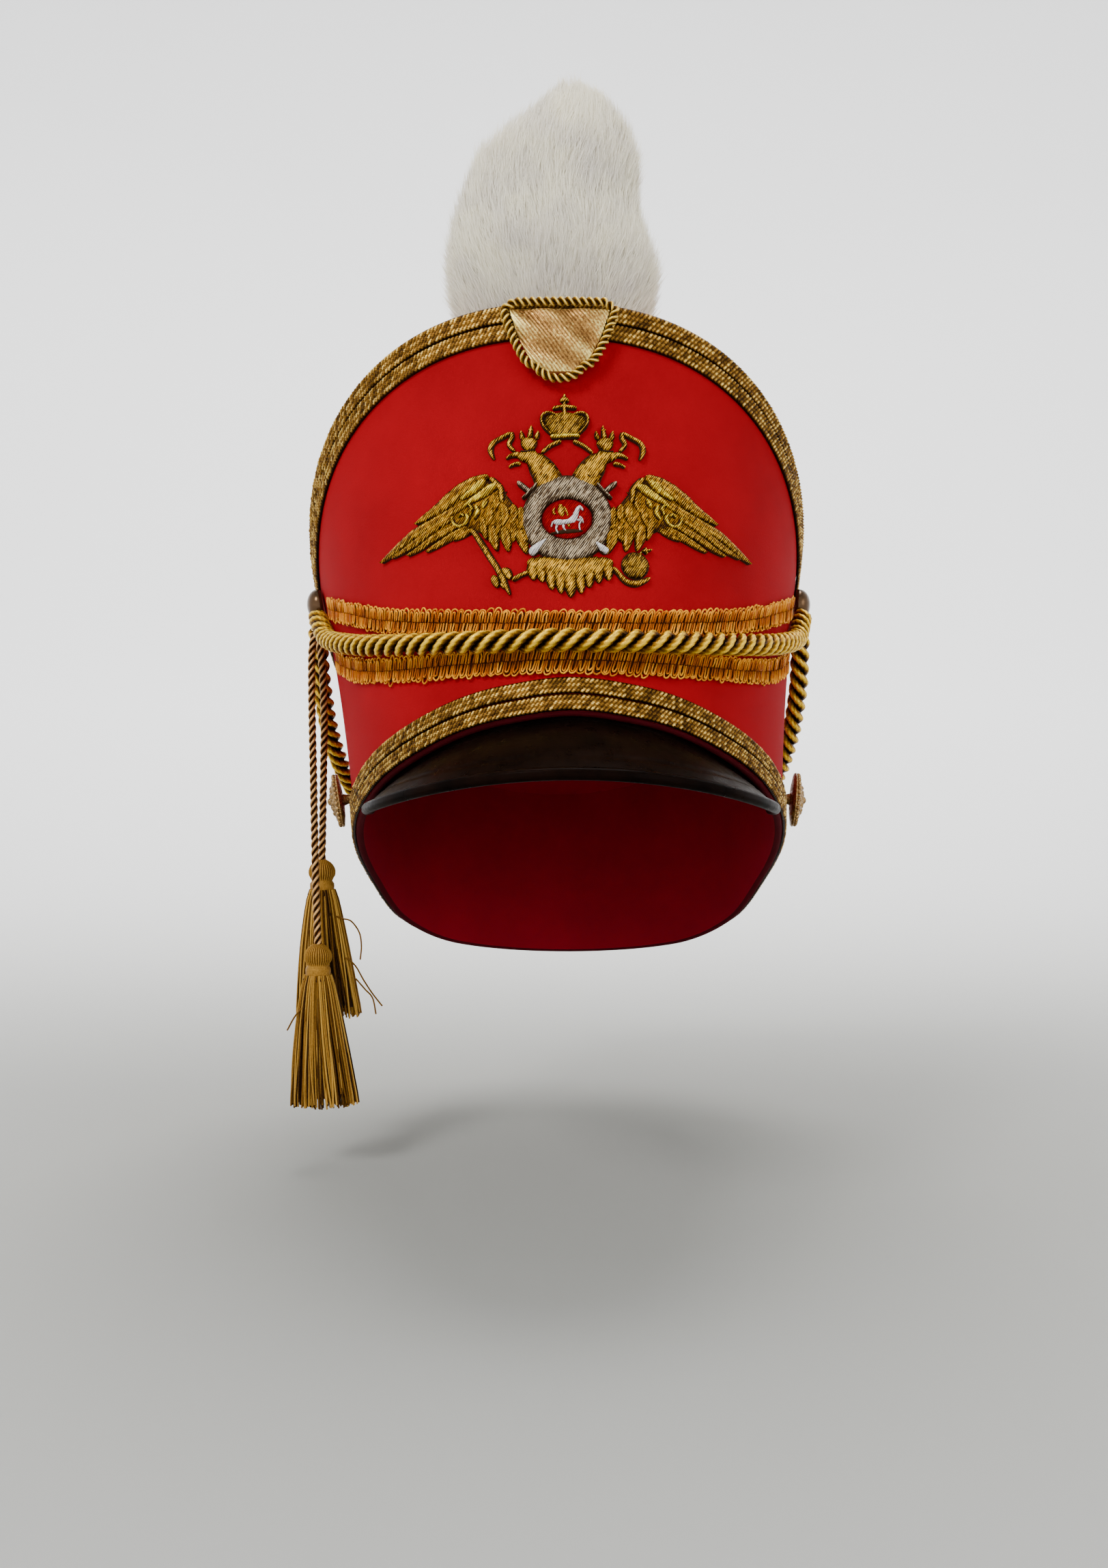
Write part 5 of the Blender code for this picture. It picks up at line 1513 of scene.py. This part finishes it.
class Needle:
    """Sews strips of padded stitches into one piece of the eagle."""

    def __init__(self, side=1):
        self.soup = Soup()
        self.side = side
        self.rng = np.random.default_rng(SEWN_SEED)

    def strip(self, rows, slot, height, grow=0.0, narrow=1.0):
        """One domed strip along rows of across, up and width; one that grows is an outline."""
        table = [(index, self.side * across / 1000, up / 1000, wide / 1000 * narrow + 2 * grow)
                 for index, (across, up, wide) in enumerate(rows)]
        marks = np.linspace(0, len(rows) - 1, SEWN_MARKS)
        line = np.stack([curve_value(table, column, marks) for column in (1, 2, 3)], -1)
        reach = travel(line * (1, 1, 0))
        step = SEWN_STEP * (2.0 if grow else 1.0)
        length = reach[-1]
        count = max(int(length / step), 6)
        share = np.linspace(0, 1, count)
        share = np.concatenate(([0.0, 0.3 / count], share[1:-1], [1 - 0.3 / count, 1.0]))
        places = share * length
        across, up, wide = (np.interp(places, reach, line[:, column]) for column in range(3))
        forward = unit(np.stack((np.gradient(across, places), np.gradient(up, places)), -1))
        from_end = np.minimum(places, length - places)
        bend = np.minimum(np.maximum(wide / 2, 0.002), length / 3)
        end = np.sqrt(1 - (1 - np.clip(from_end / bend, 0.0, 1.0)) ** 2)
        end = np.maximum(end, 0.12)
        spread = np.linspace(-1, 1, SEWN_OUTLINE_ACROSS if grow else SEWN_ACROSS)
        jitter = 1 + SEWN_EDGE_UNEVEN * self.rng.standard_normal((len(places), 1)) * (not grow)
        reach_out = (wide * end / 2)[:, None] * spread * jitter
        dome = (1 - np.abs(spread) ** 2.6) ** 0.6
        out = GAP + (height - GAP) * (0.35 + 0.65 * dome) * (0.35 + 0.65 * end[:, None])
        out = out + SEWN_UNEVEN * self.rng.standard_normal(out.shape) * (not grow)
        x = across[:, None] - forward[:, 1:] * reach_out
        z = up[:, None] + forward[:, :1] * reach_out
        # Painted shade towards the strip's edges, painted highlight along its domed middle
        shade = 0.10 + 0.55 * dome + 0 * x
        x, z, shade = (np.concatenate((part, part[:, [-1, 0]]), axis=1) for part in (x, z, shade))
        out = np.concatenate((out, np.full((len(places), 2), GAP / 2)), axis=1)
        self.soup.grid(eagle_points(x, z, out), slot=slot, shade=shade)

    def strips(self, *layers):
        """Layers of strips: table, stitch and height, then any narrowing, outline and lift of each."""
        for table, slot, height, *rest in layers:
            narrow, outlined, lift = (*rest, *PLAIN_LAYER[len(rest):])
            for index, rows in enumerate(table):
                raised = height + lift * index
                if outlined:
                    self.strip(rows, DARK_STITCH, raised - SEWN_OUTLINE_DEPTH, grow=SEWN_OUTLINE)
                self.strip(rows, slot, raised, narrow=narrow)

    def disc(self, place, half_width, half_height, slot, height, hole=(), ripple=0.0):
        """Domed disc or ring; the hole is a pair of half width and half height."""
        turn = circle(DISC_SIDES)
        inner = hole or (half_width * 0.02, half_height * 0.02)
        rows, shades = [], []
        for share in np.linspace(0, 1, DISC_ROWS):
            wide = inner[0] + (half_width - inner[0]) * share
            tall = inner[1] + (half_height - inner[1]) * share
            edge = 2 * share - 1 if hole else share
            dome = (1 - abs(edge) ** 3) ** 0.5
            out = GAP + (height - GAP) * (0.3 + 0.7 * dome)
            out = out + ripple * self.rng.standard_normal(len(turn))
            # Painted shade towards the disc's edges, painted highlight along its domed middle
            shades.append(0.10 + 0.50 * dome)
            rows.append(eagle_points(place[0] + wide * np.sin(turn), place[1] - tall * np.cos(turn), out))
        for wide, tall in ((half_width, half_height), inner):
            rows.append(eagle_points(place[0] + wide * np.sin(turn), place[1] - tall * np.cos(turn),
                                     GAP / 2 + 0 * turn))
        shades = np.array(shades + shades[-1:] + shades[:1])[:, None]
        self.soup.grid(np.array(rows), ring=bool(hole), slot=slot, shade=shades)

    def done(self, name, finish="gold_thread"):
        """Make the piece, which stands for the node of its name."""
        piece = self.soup.build("sewn_" + name, THREADS, finish, sharp=60)
        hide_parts("eagle_" + name)


def sew(name, *layers, side=1, finish="gold_thread"):
    """Sew one piece of layers of strips."""
    needle = Needle(side)
    needle.strips(*layers)
    needle.done(name, finish)


def make_sides():
    """Wings, necks, small crowns, ribbons and hilts, drawn for the right and mirrored."""
    for side, name in ((-1, "left"), (1, "right")):
        sew("wing_" + name,
            (WING_GROUND, BROWN_STITCH, 0.0009),
            (SCALES, GOLD_STITCH, 0.0014, 1.12, True, 0.00003),
            (SCALES, BROWN_STITCH, 0.00155, 0.55, False, 0.00003),
            (LONG_FEATHERS, GOLD_STITCH, 0.0014, 1.10, True, 0.0001),
            (LONG_FEATHERS, BROWN_STITCH, 0.0015, 0.6, False, 0.0001),
            (WING_EDGE, GOLD_STITCH, 0.0018),
            (SATIN_BANDS, BRIGHT_STITCH, 0.0021),
            (ORNAMENT, BRIGHT_STITCH, 0.0021), side=side)
        sew("neck_" + name,
            (NECK, GOLD_STITCH, 0.0018),
            (BEAK, GOLD_STITCH, 0.0016),
            (HEAD, GOLD_STITCH, 0.0020, 1.0, False),
            (EYE, DARK_STITCH, 0.0022, 1.0, False), side=side)
        sew("crown_" + name, (SMALL_CROWN, GOLD_STITCH, 0.0018), side=side)
        sew("ribbon_" + name, (OUTER_RIBBON + INNER_RIBBON, GOLD_STITCH, 0.0016), side=side)
        sew("sword_" + name, (SWORD, SILVER_STITCH, 0.0024), side=side, finish="silver_thread")


def mirrored(table, across_sum):
    """Strips of a table on the other side of a line up; the sum is twice the line's place."""
    return [[(across_sum - across, up, wide) for across, up, wide in rows] for rows in table]


def make_middle():
    """Large crown, ring, medallion, tail, legs, sceptre and orb."""
    sew("crown",
        (LARGE_CROWN_BODY, OLIVE_STITCH, 0.0016),
        (CROWN_THREADS, GOLD_STITCH, 0.0017, 1.0, False),
        (mirrored(CROWN_THREADS, -30), GOLD_STITCH, 0.0017, 1.0, False),
        (LARGE_CROWN_LINES, GOLD_STITCH, 0.0019),
        (mirrored(LARGE_CROWN_LINES[:1], -24), GOLD_STITCH, 0.0019),
        (LARGE_CROWN_FOOT, BRIGHT_STITCH, 0.0021))

    middle = (0.0, 0.0)
    hole = (RING_HOLE_WIDTH, RING_HOLE_HEIGHT)
    dark_radius = RING_RADIUS + SEWN_OUTLINE
    ring = Needle()
    ring.disc(middle, dark_radius, dark_radius, DARK_STITCH, 0.0010, hole)
    ring.disc(middle, RING_RADIUS, RING_RADIUS, SILVER_STITCH, 0.0021, hole, 0.00005)
    ring.strips((BLOBS, WHITE_STITCH, 0.0026))
    ring.done("ring", "silver_thread")

    medallion = Needle()
    inset = GAP / EAGLE_HALF_SPAN
    medallion.disc(middle, RING_HOLE_WIDTH - inset, RING_HOLE_HEIGHT - inset, RED_STITCH, 0.0012)
    medallion.strips((GROUND, DARK_STITCH, 0.0015, 1.0, False),
                     (RIDER, GOLD_STITCH, 0.0018, 1.0, False),
                     (HORSE, WHITE_STITCH, 0.0019, 1.0, False))
    medallion.done("medallion", "red_thread")

    sew("tail", (TAIL_FEATHERS, GOLD_STITCH, 0.0015, 1.0, True, 0.00002),
        (TAIL_BAND, GOLD_STITCH, 0.0018, 1.0, False))
    sew("leg_left", (LEG_LEFT, GOLD_STITCH, 0.0017))
    sew("leg_right", (LEG_RIGHT, GOLD_STITCH, 0.0017))
    sew("sceptre", (SCEPTRE, GOLD_STITCH, 0.0021), side=-1)

    orb = Needle()
    dark_radius = ORB_RADIUS + SEWN_OUTLINE
    orb.disc(ORB_PLACE, dark_radius, dark_radius, DARK_STITCH, 0.0010)
    orb.disc(ORB_PLACE, ORB_RADIUS, ORB_RADIUS, OLIVE_STITCH, 0.0018)
    orb.strips((ORB_LINES, GOLD_STITCH, 0.0020))
    orb.done("orb")


def main():
    """Make every piece."""
    make_stage()
    make_ropes()
    make_crown()
    make_braids()
    make_gimps()
    make_bosses()
    make_visor()
    make_cockade()
    make_plume()
    make_sides()
    make_middle()


main()
